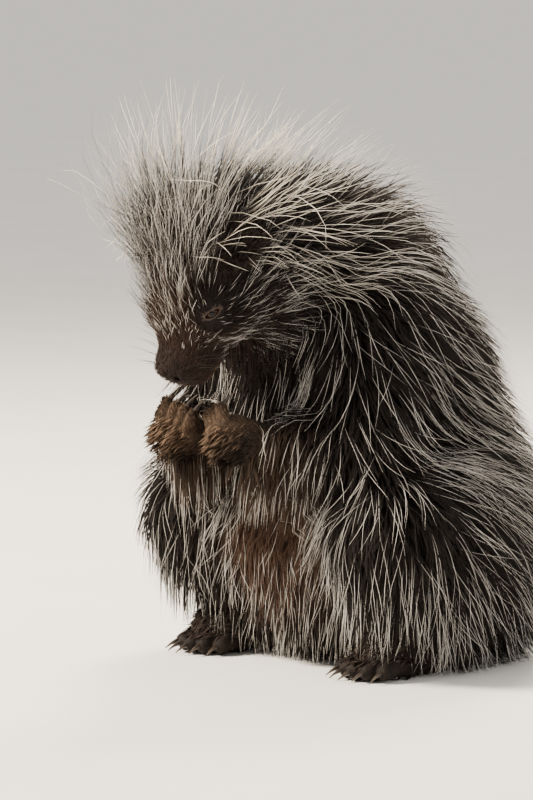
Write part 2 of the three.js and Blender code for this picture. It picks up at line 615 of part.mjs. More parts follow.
// Roots are drawn evenly over the flesh where the coat is deep, spaced by the width of their locks.
const LOCK_SPACING = 1.2;
const LOCK_GAP = 0.6;
const STRAIGHTEST = 0.2;
const THIN_COAT = 11;
const OFF_SKIN = 4;
const AREA_PER_TRY = 12;
const ROOT_LOWEST = 6;
const EAR_CLEAR = 24;
const ears = Object.values(SIDES).map(earAt);
const roots = [];
function rootFits(skin, p, width) {
  const deep = skin(p, CORE_SHARE) - skin(p, 1) >= THIN_COAT;
  const onSkin = Math.abs(skin(p, CORE_SHARE)) <= OFF_SKIN;
  const open = p.z > ROOT_LOWEST && ears.every((at) => at.distanceTo(p) > EAR_CLEAR);
  return deep && onSkin && open && roots.every((root) => root.distanceTo(p) > width * LOCK_SPACING);
}
function locksOn(solid, skin) {
  const mesh = solid.getMesh();
  const at = (n) => vec(...mesh.vertProperties.subarray(3 * n, 3 * n + 3));
  const faces = [];
  let area = 0;
  for (let n = 0; n < mesh.triVerts.length; n += 3) {
    const face = [...mesh.triVerts.subarray(n, n + 3)].map(at);
    area += new THREE.Triangle(...face).getArea();
    faces.push({ face, upTo: area });
  }
  const locks = [];
  for (let n = 0; n < area / AREA_PER_TRY; n++) {
    const pick = random() * area;
    const [a, b, c] = faces.find(({ upTo }) => upTo >= pick).face;
    const p = mix(a, mix(b, c, random()), Math.sqrt(random()));
    const { width, ...sizes } = combAt(p);
    if (!rootFits(skin, p, width)) continue;
    const path = lockPath(skin, p, sizes);
    if (path[0].along.dot(path[LOCK_STEPS].along) < STRAIGHTEST) continue;
    const roll = between(-ROLL, ROLL);
    roots.push(p);
    locks.push({ thin: lockSolid(path, width, roll, 0), fat: lockSolid(path, width, roll, LOCK_GAP) });
  }
  return locks;
}

// Each node's locks are cut clear of all other nodes, and then fused to its flesh.
const bodySkin = skinOf(body);
const coats = parted.map((name) => [name, bodySkin]);
for (const [name, side] of Object.entries(SIDES))
  coats.push(["forearm_" + name, skinOf(forearm.map((mass) => mirrored(mass, side)))]);
const fatHair = [];
for (const [name, skin] of coats) {
  const locks = locksOn(flesh.get(name), skin);
  const others = [...taken].filter(([other]) => other !== name).map(([, fat]) => fat);
  const hair = [floor, ...others, ...fatHair].reduce(
    (rest, cutter) => rest.subtract(cutter),
    join(locks.map(({ thin }) => thin))
  );
  fatHair.push(join(locks.map(({ fat }) => fat)));
  flesh.set(name, largest(flesh.get(name).add(hair)));
}

// Materials by the start of each name.
const finish = (color, roughness) => new THREE.MeshStandardMaterial({ color, roughness, metalness: 0 });
const finishes = {
  eye: finish(0x120c0a, 0.12),
  claw: finish(0x4a3f36, 0.45),
  hand: finish(0x8a6445, 0.85),
  foot: finish(0x33261f, 0.9),
  ear: finish(0x5d4636, 0.9),
  coat: finish(0x3b2e27, 0.95),
};
const finishOf = (name) => finishes[name.split("_")[0]] ?? finishes.coat;

const part = new THREE.Group();
for (const [name, solid] of flesh) {
  const mesh = solid.getMesh();
  const geometry = new THREE.BufferGeometry()
    .setAttribute("position", new THREE.BufferAttribute(mesh.vertProperties, 3))
    .setIndex(new THREE.BufferAttribute(mesh.triVerts, 1));
  geometry.computeVertexNormals();
  const made = new THREE.Mesh(geometry, finishOf(name));
  made.name = name;
  part.add(made);
}
export default part;
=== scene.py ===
import math

import bpy
import numpy as np
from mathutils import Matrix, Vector


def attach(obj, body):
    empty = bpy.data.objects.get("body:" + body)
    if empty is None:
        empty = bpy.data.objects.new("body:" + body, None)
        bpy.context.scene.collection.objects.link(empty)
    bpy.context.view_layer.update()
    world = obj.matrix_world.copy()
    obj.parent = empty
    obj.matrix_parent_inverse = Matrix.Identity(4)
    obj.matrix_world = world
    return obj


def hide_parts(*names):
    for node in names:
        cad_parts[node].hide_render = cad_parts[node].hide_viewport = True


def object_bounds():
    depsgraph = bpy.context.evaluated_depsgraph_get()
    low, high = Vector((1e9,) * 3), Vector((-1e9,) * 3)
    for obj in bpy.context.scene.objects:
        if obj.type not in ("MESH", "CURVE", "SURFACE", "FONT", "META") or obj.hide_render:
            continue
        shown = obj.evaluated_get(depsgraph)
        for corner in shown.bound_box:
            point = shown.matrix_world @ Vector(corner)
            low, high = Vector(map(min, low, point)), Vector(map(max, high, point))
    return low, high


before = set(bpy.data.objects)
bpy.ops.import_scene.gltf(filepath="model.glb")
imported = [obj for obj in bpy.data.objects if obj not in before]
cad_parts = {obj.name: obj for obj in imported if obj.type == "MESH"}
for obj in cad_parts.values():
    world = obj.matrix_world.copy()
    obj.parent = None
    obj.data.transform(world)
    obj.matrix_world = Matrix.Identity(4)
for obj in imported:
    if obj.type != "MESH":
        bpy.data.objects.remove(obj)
cad_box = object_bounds()

# A North American porcupine sitting up to eat. All sizes are in millimetres, in the frame of its solids: it
# faces -Y, its left side is +X, and the origin is on the floor under its seat.
MM = 0.001
SIDES = {"left": 1, "right": -1}
RANDOM = np.random.default_rng(7)
TINY = 1e-6


def vec(x, y, z):
    return np.array([x, y, z], float)


def unit(v):
    return v / np.maximum(np.linalg.norm(v, axis=-1, keepdims=True), TINY)


def flip(v, side):
    return v * vec(side, 1, 1)


def smoothstep(value, low, high):
    t = np.clip((value - low) / (high - low), 0, 1)
    return t * t * (3 - 2 * t)


# Driving places of the skeleton, on the left side.
HIP = vec(55, 42, 78)
KNEE = vec(98, -46, 108)
ANKLE = vec(93, 8, 28)
HEEL = vec(93, 24, 18)
TOE_ROOT = vec(90, -44, 16)
SHOULDER = vec(58, -26, 248)
ELBOW = vec(80, -58, 170)
WRIST = vec(44, -112, 168)
KNUCKLES = vec(31, -138, 178)
SKULL = vec(0, -145, 281)
TAIL_ROOT = vec(0, 118, 44)
TAIL_MIDDLE = vec(-10, 205, 31)
TAIL_TIP = vec(-34, 285, 24)

# The head looks down at the paws. Its axes run across to the left, forward to the nose and out of the crown.
HEAD_PITCH = math.radians(69)
ACROSS = vec(1, 0, 0)
BACK = vec(0, math.cos(HEAD_PITCH), math.sin(HEAD_PITCH))
CROWN = vec(0, -math.sin(HEAD_PITCH), math.cos(HEAD_PITCH))
FORWARD = -BACK
UP = vec(0, 0, 1)
DOWN = -UP
REAR = vec(0, 1, 0)
LEVEL = np.eye(3)
HEAD_FRAME = np.array([ACROSS, BACK, CROWN])


def head_way(aside, forward, up):
    return unit(ACROSS * aside + FORWARD * forward + CROWN * up)


def in_head(aside, forward, up):
    return SKULL + ACROSS * aside + FORWARD * forward + CROWN * up


# Flesh is a set of masses: ellipsoids, and limbs with round ends. coat is how far the hair's tips stand off a
# mass, and a quarter of that away from its proud side, if it has one. blend rounds a mass into the others.
BARE_SHARE = 0.25
FADE = 0.8
TRUNK_BLEND = 26
HEAD_BLEND = 10
PAW_BLEND = 4


def ball(centre, radii, coat, blend=TRUNK_BLEND, proud=None, turn=0, axes=LEVEL):
    shape = dict(centre=centre, radii=radii, axes=axes)
    return dict(shape, coat=coat, end=coat, blend=blend, proud=proud, turn=turn)


def limb(start, stop, r0, r1, coat, blend=TRUNK_BLEND, proud=None, turn=0, end=None):
    end = coat if end is None else end
    return dict(start=start, stop=stop, r0=r0, r1=r1, coat=coat, end=end, blend=blend, proud=proud, turn=turn)


def head_ball(centre, radii, coat, **more):
    return ball(centre, radii, coat, blend=HEAD_BLEND, axes=HEAD_FRAME, **more)


MIRRORED = ("centre", "start", "stop", "proud")


def mirrored(mass, side):
    flipped = {key: flip(mass[key], side) for key in MIRRORED if mass.get(key) is not None}
    return {**mass, **flipped}


def both_sides(mass):
    return [mirrored(mass, side) for side in SIDES.values()]


TRUNK = [
    ball(vec(0, 40, 102), vec(90, 88, 104), 48, proud=REAR),
    ball(vec(0, 17, 196), vec(80, 75, 94), 44, proud=REAR),
    ball(vec(0, -18, 246), vec(72, 56, 56), 44, proud=REAR),
    ball(vec(0, -18, 190), vec(66, 58, 74), 22),
    ball(vec(0, -8, 102), vec(78, 68, 86), 14),
    limb(vec(0, -8, 280), in_head(0, -38, -18), 54, 34, 58, proud=UP, turn=0.4, end=44),
    limb(vec(0, -30, 262), in_head(0, -14, -26), 48, 31, 14),
    limb(TAIL_ROOT, TAIL_MIDDLE, 33, 25, 24),
    limb(TAIL_MIDDLE, TAIL_TIP, 25, 17, 24),
    *both_sides(limb(HIP, KNEE, 50, 33, 36, proud=ACROSS)),
    *both_sides(limb(KNEE, ANKLE, 30, 19, 28, proud=ACROSS)),
    *both_sides(ball(vec(62, 24, 82), vec(50, 66, 72), 42, proud=ACROSS)),
    *both_sides(limb(SHOULDER, ELBOW, 33, 23, 34, proud=ACROSS)),
]
HEAD = [
    head_ball(in_head(0, -16, 0), vec(32, 44, 33), 8),
    head_ball(in_head(0, -32, 8), vec(24, 28, 25), 52, proud=unit(BACK + CROWN), turn=0.75),
    *both_sides(head_ball(in_head(17, 2, -10), vec(19, 28, 22), 9)),
    *both_sides(head_ball(in_head(18, 16, 14), vec(9, 14, 8), 4)),
    limb(in_head(0, 14, 2), in_head(0, 44, -3), 27, 19, 4, blend=HEAD_BLEND),
    *both_sides(head_ball(in_head(8, 50, -7), vec(12, 13, 13), 3)),
    head_ball(in_head(0, 57, 6), vec(12, 8, 9), 1),
    limb(in_head(0, 0, -22), in_head(0, 38, -21), 19, 11, 6, blend=HEAD_BLEND),
]
ARM_BLEND = 9
FOREARMS = both_sides(limb(ELBOW, WRIST, 22, 14, 20, blend=ARM_BLEND))
PALMS = both_sides(limb(WRIST, KNUCKLES, 15, 17, 3, blend=PAW_BLEND))
SOLES = both_sides(limb(HEEL, TOE_ROOT, 17, 20, 3, blend=PAW_BLEND))
WHOLE = TRUNK + HEAD + FOREARMS + PALMS + SOLES


def coat_of(mass, points, middle, along):
    coat = mass["coat"] + (mass["end"] - mass["coat"]) * along
    if mass["proud"] is None:
        return coat
    facing = unit(points - middle) @ mass["proud"]
    raised = smoothstep(facing, mass["turn"] - FADE, mass["turn"])
    return coat * (BARE_SHARE + (1 - BARE_SHARE) * raised)


def mass_distance(mass, points, share):
    """How far points are outside a mass once its hair is as deep as a share of the coat."""
    if "radii" in mass:
        coat = share * coat_of(mass, points, mass["centre"], 0)
        radii = mass["radii"] + np.reshape(coat, (-1, 1))
        q = (points - mass["centre"]) @ mass["axes"].T / radii
        length = np.linalg.norm(q, axis=1)
        return length * (length - 1) / np.maximum(np.linalg.norm(q / radii, axis=1), TINY)
    axis = mass["stop"] - mass["start"]
    along = np.clip((points - mass["start"]) @ axis / (axis @ axis), 0, 1)
    nearest = mass["start"] + along[:, None] * axis
    radius = mass["r0"] + (mass["r1"] - mass["r0"]) * along
    return np.linalg.norm(points - nearest, axis=1) - radius - share * coat_of(mass, points, nearest, along)


def smooth_min(a, b, blend):
    h = np.maximum(blend - np.abs(a - b), 0) / blend
    return np.minimum(a, b) - h * h * blend / 4


def smooth_max(a, b, blend):
    return -smooth_min(-a, -b, blend)


FAR = 1200
CHUNK = 60000


def body_distance(points, share=0.0, masses=WHOLE):
    """One smooth skin over several masses. share may be one number or one for each point."""
    shares = np.broadcast_to(share, len(points))
    found = []
    for n in range(0, len(points), CHUNK):
        some, part = points[n:n + CHUNK], shares[n:n + CHUNK]
        near = np.full(len(some), float(FAR))
        for mass in masses:
            near = smooth_min(near, mass_distance(mass, some, part), mass["blend"])
        found.append(near)
    return np.concatenate(found) if found else np.zeros(0)


def slope_of(field, points, step=0.5):
    rises = [field(points + step * way) - field(points - step * way) for way in LEVEL]
    return np.stack(rises, 1) / (2 * step)


# Surfaces are netted from their field: every cell of a grid that the surface crosses gets one corner.
LEAST_SLOPE = 0.05
CELL_REACH = 0.55


def net(field, low, high, cell, passes=4):
    low = np.asarray(low, float)
    counts = np.ceil((np.asarray(high) - low) / cell).astype(int) + 1
    steps = [low[n] + cell * np.arange(counts[n]) for n in range(3)]
    grid = np.stack(np.meshgrid(*steps, indexing="ij"), -1).reshape(-1, 3)
    inside = (field(grid) < 0).reshape(counts)
    full = np.zeros(counts - 1, int)
    for i in (0, 1):
        for j in (0, 1):
            for k in (0, 1):
                full += inside[i:counts[0] - 1 + i, j:counts[1] - 1 + j, k:counts[2] - 1 + k]
    mixed = (full > 0) & (full < 8)
    index = np.full(mixed.shape, -1)
    index[mixed] = np.arange(mixed.sum())
    centres = low + cell * (np.argwhere(mixed) + 0.5)
    points = centres.copy()
    for _ in range(passes):
        slope = slope_of(field, points, cell / 4)
        points -= slope * (field(points) / np.maximum((slope * slope).sum(1), LEAST_SLOPE))[:, None]
        points = np.clip(points, centres - CELL_REACH * cell, centres + CELL_REACH * cell)
    quads = []
    for axis in range(3):
        u, v = (axis + 1) % 3, (axis + 2) % 3
        here = np.take(inside, range(counts[axis] - 1), axis)
        there = np.take(inside, range(1, counts[axis]), axis)
        starts = np.argwhere(here != there)
        for side in (u, v):
            starts = starts[(starts[:, side] > 0) & (starts[:, side] < counts[side] - 1)]
        ring = []
        for du, dv in ((-1, -1), (0, -1), (0, 0), (-1, 0)):
            place = starts.copy()
            place[:, u] += du
            place[:, v] += dv
            ring.append(index[tuple(place.T)])
        ring = np.stack(ring, 1)
        outward = here[tuple(starts.T)]
        ring[~outward] = ring[~outward][:, ::-1]
        quads.append(ring)
    return points, np.concatenate(quads)


def keep_faces(points, faces, wanted):
    """The faces whose middle passes a test, with only the corners that they use."""
    faces = faces[wanted(points[faces].mean(1))]
    used, where = np.unique(faces, return_inverse=True)
    return points[used], where.reshape(faces.shape)


def join(parts):
    """Several (points, faces) as one."""
    points, faces, start = [], [], 0
    for some, quads in parts:
        points.append(some)
        faces.append(quads + start)
        start += len(some)
    return np.concatenate(points), np.concatenate(faces)


def mesh_piece(name, points, faces, material, smooth=True):
    """A mesh object from points in millimetres and faces of one size."""
    size = faces.shape[1]
    mesh = bpy.data.meshes.new(name)
    mesh.vertices.add(len(points))
    mesh.vertices.foreach_set("co", (points * MM).astype(np.float32).ravel())
    mesh.loops.add(faces.size)
    mesh.loops.foreach_set("vertex_index", faces.astype(np.int32).ravel())
    mesh.polygons.add(len(faces))
    mesh.polygons.foreach_set("loop_start", np.arange(0, faces.size, size, dtype=np.int32))
    mesh.update(calc_edges=True)
    mesh.validate()
    mesh.polygons.foreach_set("use_smooth", np.full(len(mesh.polygons), smooth))
    mesh.materials.append(material)
    piece = bpy.data.objects.new(name, mesh)
    bpy.context.collection.objects.link(piece)
    return piece


def paint(piece, name, colours):
    """A colour for each corner point, kept as an attribute that the material reads."""
    layer = piece.data.attributes.new(name, "FLOAT_COLOR", "POINT")
    rgba = np.concatenate([colours, np.ones((len(colours), 1))], 1)
    layer.data.foreach_set("color", rgba.astype(np.float32).ravel())


# Face: eyes, lids, lips, nostrils and ears.
EYE_RADIUS = 6.3
LID_LENGTH = 6.0
LID_HEIGHT = 2.6
SOCKET_RISE = 4.0
SOCKET_RADIUS = 8.4
SOCKET_BLEND = 1.5
NOSTRIL_ASIDE = 6.4
NOSTRIL_RISE = 4.5
NOSTRIL_DEEP = 64.5
NOSTRIL_MOUTH = 65
NOSTRIL_RADII = vec(1.9, 4.2, 3)
NOSTRIL_BLEND = 1.2
LIP_LINE = [vec(18, 32, -13), vec(19, 44, -13.5), vec(13, 56, -13), vec(0, 62, -11)]
EAR_SHELL = vec(13, 16, 9)
EAR_CUP = vec(10.8, 13.6, 9)
EAR_SEAT = 3
EAR_DEEP = 6
EAR_RIM = 1.6
RIDGE_RADIUS = 2.2
RIDGE_BLEND = 2


def eye_at(side):
    return in_head(25.5 * side, 14, 7)


def eye_way(side):
    return head_way(0.86 * side, 0.28, 0.42)


def eye_axes(side):
    """Towards the eye's inner corner, up across its lids, and out of the head."""
    out = eye_way(side)
    corner = head_way(-0.48 * side, 0.74, 0.49)
    corner = unit(corner - out * (corner @ out))
    tall = np.cross(out, corner)
    return np.array([corner, tall * np.sign(tall @ CROWN), out])


def rim_share(points, side):
    """0 at the middle of an eye's opening, 1 at its edge and more on the lids."""
    along, up, _ = ((points - eye_at(side)) @ eye_axes(side).T).T
    return np.hypot(along / LID_LENGTH, up / LID_HEIGHT)


def ear_at(side):
    return in_head(37 * side, -40, 6)


def ear_way(side):
    return head_way(0.8 * side, 0.3, 0.5)


def ear_axes(side):
    out = ear_way(side)
    rise = head_way(0.5 * side, -1, 0)
    rise = unit(rise - out * (rise @ out))
    return np.array([np.cross(rise, out), rise, out])


def tube_distance(points, path, radius):
    near = np.full(len(points), float(FAR))
    for start, stop in zip(path[:-1], path[1:]):
        axis = stop - start
        along = np.clip((points - start) @ axis / (axis @ axis), 0, 1)
        near = np.minimum(near, np.linalg.norm(points - start - along[:, None] * axis, axis=1))
    return near - radius


def egg_distance(points, centre, radii, axes):
    q = (points - centre) @ axes.T / radii
    length = np.linalg.norm(q, axis=1)
    return length * (length - 1) / np.maximum(np.linalg.norm(q / radii, axis=1), TINY)


def along_mouth(inset, ahead, rise):
    half = [in_head(p[0] * inset, p[1] + ahead, p[2] + rise) for p in LIP_LINE]
    return half + [flip(p, -1) for p in half[-2::-1]]


# Lips and grooves: the path, its radius, and the width over which it rounds into the face.
LIPS = [(along_mouth(0.93, -1.5, 3.4), 3.0, 3.5), (along_mouth(0.86, -1.5, -3.2), 2.5, 3)]
GROOVES = [(along_mouth(1.1, 2.2, 0), 1.5, 1.4), ([in_head(0, 66.5, 2), in_head(0, 63.5, -11)], 0.9, 1.4)]


def nostril_at(side, ahead):
    return in_head(NOSTRIL_ASIDE * side, ahead, NOSTRIL_RISE)


def nostril_axes(side):
    out = head_way(0.35 * side, 0.9, 0.35)
    tall = head_way(0.5 * side, -0.35, 1)
    tall = unit(tall - out * (tall @ out))
    return np.array([np.cross(tall, out), out, tall])


def face_distance(points):
    d = body_distance(points, 0.0, TRUNK + HEAD)
    for path, radius, blend in LIPS:
        d = smooth_min(d, tube_distance(points, path, radius), blend)
    for path, radius, blend in GROOVES:
        d = smooth_max(d, -tube_distance(points, path, radius), blend)
    for side in SIDES.values():
        nostril = egg_distance(points, nostril_at(side, NOSTRIL_DEEP), NOSTRIL_RADII, nostril_axes(side))
        d = smooth_max(d, -nostril, NOSTRIL_BLEND)
        socket = eye_at(side) + eye_way(side) * SOCKET_RISE
        d = smooth_max(d, SOCKET_RADIUS - np.linalg.norm(points - socket, axis=1), SOCKET_BLEND)
    return d


def ear_distance(side):
    axes = ear_axes(side)
    seat = ear_at(side) + ear_way(side) * EAR_SEAT
    cup = seat + ear_way(side) * EAR_DEEP
    ridge_path = [seat + axes[0] * 6 - axes[1] * 8, seat + axes[0] * 7 + axes[1] * 4]

    def field(points):
        shell = egg_distance(points, seat, EAR_SHELL, axes)
        hollow = egg_distance(points, cup, EAR_CUP, axes)
        ridge = tube_distance(points, ridge_path, RIDGE_RADIUS)
        return smooth_min(smooth_max(shell, -hollow, EAR_RIM), ridge, RIDGE_BLEND)

    return field


# Forepaw: the fingers leave the knuckles side by side and curl over the palm, which faces the mouth.
FINGERS = 4
FINGER_PITCH = 7.6
FINGER_RADII = [7, 5.8, 5]
HAND_ALONG = unit(KNUCKLES - WRIST)
HAND_PALM = vec(-0.3, 0.2, 0.88)
HAND_PALM = unit(HAND_PALM - HAND_ALONG * (HAND_PALM @ HAND_ALONG))
HAND_SPREAD = np.cross(HAND_ALONG, HAND_PALM)
TOES = 5
TOE_PITCH = 8.5
TOE_LENGTH = 30
TOE_SPREAD = 1.25
TOE_ARCH = 2.5
TOE_RADII = [9.5, 8, 6.8]


def finger(i):
    root = KNUCKLES + HAND_SPREAD * (i - (FINGERS - 1) / 2) * FINGER_PITCH
    middle = root + HAND_ALONG * 13 + HAND_PALM * 3
    tip = root + HAND_ALONG * 18 + HAND_PALM * 14
    point = unit(HAND_PALM - HAND_ALONG * 0.1)
    return dict(path=[root, middle, tip], point=point, curl=-HAND_ALONG, radii=FINGER_RADII)


def toe(i):
    aside = i - (TOES - 1) / 2
    root = TOE_ROOT + vec(aside * TOE_PITCH, 4, -6)
    ahead = TOE_LENGTH - TOE_ARCH * aside ** 2
    tip = TOE_ROOT + vec(aside * TOE_PITCH * TOE_SPREAD, -ahead, -8.5)
    middle = (root + tip) / 2 + UP * 3
    return dict(path=[root, middle, tip], point=unit(vec(aside * 0.08, -1, 0.05)), curl=DOWN, radii=TOE_RADII)


FINGER_SET = [finger(i) for i in range(FINGERS)]
TOE_SET = [toe(i) for i in range(TOES)]
DIGIT_SLIM = 0.86
DIGIT_BLENDS = (2.2, 1.2)
SOLE_CLEAR = 0.4
SEAT_CLEAR = 1.5
SEAT_BLEND = 6


def digit_masses(digits):
    masses = []
    for digit in digits:
        (root, middle, tip), (r0, r1, r2) = digit["path"], [DIGIT_SLIM * r for r in digit["radii"]]
        masses.append(limb(root, middle, r0, r1, 0, blend=DIGIT_BLENDS[0]))
        masses.append(limb(middle, tip, r1, r2, 0, blend=DIGIT_BLENDS[1]))
    return masses


def paw_distance(masses, digits, side):
    flesh = [mirrored(mass, side) for mass in masses + digit_masses(digits)]

    def field(points):
        return np.maximum(body_distance(points, 0.0, flesh), SOLE_CLEAR - points[:, 2])

    return field


def floored(field):
    return lambda points: smooth_max(field(points), SEAT_CLEAR - points[:, 2], SEAT_BLEND)


# Markings, shared by the skin and the coat: the dark body colour, changed softly near each of these places.
BODY_DARK = vec(0.0095, 0.0072, 0.0062)
BACK_BROWN = vec(0.034, 0.021, 0.014)
BELLY_RED = vec(0.060, 0.035, 0.024)
FACE_BROWN = vec(0.026, 0.0145, 0.0105)
FACE_DARK = vec(0.0085, 0.006, 0.005)
EAR_BROWN = vec(0.017, 0.012, 0.010)
NOSE_RED = vec(0.044, 0.0255, 0.017)
LIP_TAN = vec(0.110, 0.062, 0.038)
# A pale ring along the rim of each lid is a painted highlight.
LID_RIM_HIGHLIGHT = vec(0.120, 0.088, 0.070)
LID_HIGHLIGHT_REACH = 12
LID_RING = 1.12
LID_RING_WIDTH = 0.2
PAW_TAN = vec(0.098, 0.062, 0.039)
PAW_DARK = vec(0.030, 0.019, 0.013)
FOOT_DARK = vec(0.022, 0.015, 0.012)


def marks(colour, centre, reach):
    return [(colour, flip(centre, side), reach) for side in SIDES.values()]


MARKINGS = [
    (BACK_BROWN, vec(0, 60, 330), 95),
    (BELLY_RED, vec(0, -80, 110), 62),
    (FACE_BROWN, in_head(0, 20, 0), 52),
    *marks(FACE_DARK, in_head(28, 4, 0), 25),
    (NOSE_RED, in_head(0, 22, 27), 19),
    *marks(LIP_TAN, in_head(9, 52, -15), 8),
    *marks(EAR_BROWN, ear_at(1) + ear_way(1) * 8, 17),
    *marks(PAW_DARK, WRIST, 34),
    *marks(PAW_TAN, KNUCKLES + HAND_ALONG * 10 + HAND_PALM * 6, 21),
    *marks(FOOT_DARK, TOE_ROOT, 50),
]


def fur_colour(points):
    colours = np.tile(BODY_DARK, (len(points), 1))
    for colour, centre, reach in MARKINGS:
        weight = np.exp(-(((points - centre) / reach) ** 2).sum(1) ** 2)
        colours += weight[:, None] * (colour - colours)
    # Near each eye, the pale ring on the lid's rim is a painted highlight, not a marking.
    for side in SIDES.values():
        near = np.linalg.norm(points - eye_at(side), axis=1) < LID_HIGHLIGHT_REACH
        weight = near * np.exp(-((rim_share(points, side) - LID_RING) / LID_RING_WIDTH) ** 2)
        colours += weight[:, None] * (LID_RIM_HIGHLIGHT - colours)
    return colours


# The comb: near each place, which way the hair lies, how long it is, and the share of the coat's depth at
# which its tips stand.
def comb_both(at, reach, way, length, tips=1.0):
    return [(flip(at, side), reach, flip(unit(way), side), length, tips) for side in SIDES.values()]


COMBS = [
    (in_head(0, -36, 34), 26, BACK, 104, 2.1),
    (in_head(0, 0, 34), 26, BACK, 50, 1.4),
    *comb_both(in_head(36, -6, -8), 30, head_way(0.1, -1, -0.5), 26, 1.2),
    *comb_both(in_head(34, -16, 12), 17, head_way(0.15, -1, -0.1), 14, 0.6),
    (vec(0, -96, 372), 42, unit(vec(0, 1, 0.8)), 104, 1.85),
    *comb_both(vec(62, -72, 330), 44, vec(0.25, 1, -0.15), 80, 1.15),
    (vec(0, -10, 366), 60, unit(vec(0, 1, -0.1)), 92, 1.0),
    (vec(0, 96, 300), 80, unit(vec(0, 0.6, -1)), 96, 0.78),
    (vec(0, 150, 190), 80, unit(vec(0, 0.15, -1)), 92, 1.0),
    (vec(0, 140, 80), 70, unit(vec(0, 0.4, -1)), 80, 1.0),
    *comb_both(vec(128, 40, 220), 80, vec(0, 0.8, -0.8), 92),
    *comb_both(vec(118, -40, 240), 50, vec(0, 0.35, -1), 76),
    *comb_both(vec(105, -70, 170), 40, vec(0, 0.1, -1), 62),
    *comb_both(vec(60, -98, 165), 34, vec(-0.25, -0.1, -1), 50),
    (vec(0, -90, 200), 50, DOWN, 42, 1.0),
    (vec(0, -86, 90), 60, unit(vec(0, -0.1, -1)), 34, 1.0),
    *comb_both(vec(150, 50, 100), 70, vec(0, 0.55, -0.85), 84),
    *comb_both(vec(120, -90, 120), 50, vec(0, -0.05, -1), 74),
    *comb_both(vec(100, -20, 40), 40, vec(0, -0.05, -1), 56),
    (TAIL_ROOT * 0.3 + TAIL_MIDDLE * 0.7, 50, unit(vec(-0.05, 1, -0.12)), 60, 1.0),
    (TAIL_TIP, 50, unit(vec(-0.28, 1, -0.1)), 52, 1.0),
]


COMB_WAYS, COMB_LENGTHS, COMB_TIPS = (np.array([comb[n] for comb in COMBS]) for n in (2, 3, 4))


def comb_at(points):
    """Which way the hair lies at each point, its length, and its tip's share of the coat's depth."""
    near = [np.exp(-((points - at) ** 2).sum(1) / reach ** 2) for at, reach, *_ in COMBS]
    weights = np.stack(near, 1) + TINY
    weights /= weights.sum(1, keepdims=True)
    return unit(weights @ COMB_WAYS), weights @ COMB_LENGTHS, weights @ COMB_TIPS


def coat_depth(points):
    return body_distance(points, 0.0) - body_distance(points, 1.0)


# Roots are drawn over the skin by area, and each keeps its place on the skin's unwrap.
class Skin:
    def __init__(self, points, faces, unwrap):
        split = [(0, 1, 2), (0, 2, 3)]
        self.corners = np.concatenate([points[faces[:, list(three)]] for three in split])
        self.unwrap = np.concatenate([unwrap[:, list(three)] for three in split])
        a, b, c = self.corners.transpose(1, 0, 2)
        self.areas = np.linalg.norm(np.cross(b - a, c - a), axis=1) / 2
        self.middles = (a + b + c) / 3

    def roots(self, count, density):
        chances = self.areas * density(self.middles)
        picks = RANDOM.choice(len(chances), count, p=chances / chances.sum())
        u, v = RANDOM.random((2, count))
        over = u + v > 1
        u[over], v[over] = 1 - u[over], 1 - v[over]
        weights = np.stack([1 - u - v, u, v], 1)[:, :, None]
        return (self.corners[picks] * weights).sum(1), (self.unwrap[picks] * weights).sum(1)


def turned(way, axis, angle):
    """Vectors turned about axes of length 1."""
    c, s = np.cos(angle)[:, None], np.sin(angle)[:, None]
    return way * c + np.cross(axis, way) * s + axis * (way * axis).sum(1, keepdims=True) * (1 - c)


RISE = 0.75
HANGS = 0.5
FLOOR_CLEAR = 1.5
LEAST_RUN = 0.25
WAVE_TURN = 2.4
WIDE_STEP = 0.8
ROOT_DEPTH = 0.6
CAD_LOW, CAD_HIGH = (np.array(corner) / MM for corner in cad_box)
PROUD = 0.025 * (CAD_HIGH - CAD_LOW)
COAT_LOW = np.append((CAD_LOW - PROUD)[:2], FLOOR_CLEAR)
COAT_HIGH = CAD_HIGH + PROUD


def grow(roots, length, tips, steps, stray, wave):
    """Paths of hairs. Each rises to the height of its tip as it follows the comb, hangs free where the comb
    leads it off the body, and waves a little to the side."""
    depth = np.abs(body_distance(roots, tips))
    run = np.sqrt(np.maximum(length ** 2 - depth ** 2, (LEAST_RUN * length) ** 2)) / steps
    bend = RANDOM.normal(0, wave, len(roots))
    phase = RANDOM.uniform(0, 2 * math.pi, len(roots))
    here = roots.copy()
    path = [here.copy()]
    for step in range(1, steps + 1):
        share = tips * (step / steps) ** RISE
        out = unit(slope_of(lambda q: body_distance(q, share), here, WIDE_STEP))
        way = turned(comb_at(here)[0], out, stray + bend * np.sin(phase + WAVE_TURN * step / steps))
        facing = (way * out).sum(1, keepdims=True)
        hangs = facing > HANGS
        here = here + run[:, None] * np.where(hangs, way, unit(way - out * facing))
        above = body_distance(here, share)[:, None]
        here = here - np.where((above < 0) | ~hangs, above, 0) * out
        here[:, 2] = np.maximum(here[:, 2], FLOOR_CLEAR)
        path.append(here.copy())
    return np.clip(np.stack(path, 1), COAT_LOW, COAT_HIGH)


def lie(roots, out, way, length, lift, steps):
    """Paths of short fur that lies along the skin."""
    way = unit(way - out * (way * out).sum(1, keepdims=True))
    share = np.linspace(0, 1, steps + 1)[None, :, None]
    length, lift = np.reshape(length, (-1, 1, 1)), np.reshape(lift, (-1, 1, 1))
    path = roots[:, None] + way[:, None] * length * share + out[:, None] * lift * share * (2 - share)
    return path - out[:, None] * ROOT_DEPTH * (1 - share)


# The faces of a tuft or a hair lie in one small patch of the bake map, at its root's place on the unwrap.
PATCH = 0.003
TUFT_BASE = 0.25
TUFT_TIP = 0.05


def number_layer(mesh, name, values):
    """A number for each point, kept as an attribute that a material or node tree reads."""
    mesh.attributes.new(name, "FLOAT", "POINT").data.foreach_set("value", np.asarray(values, np.float32))


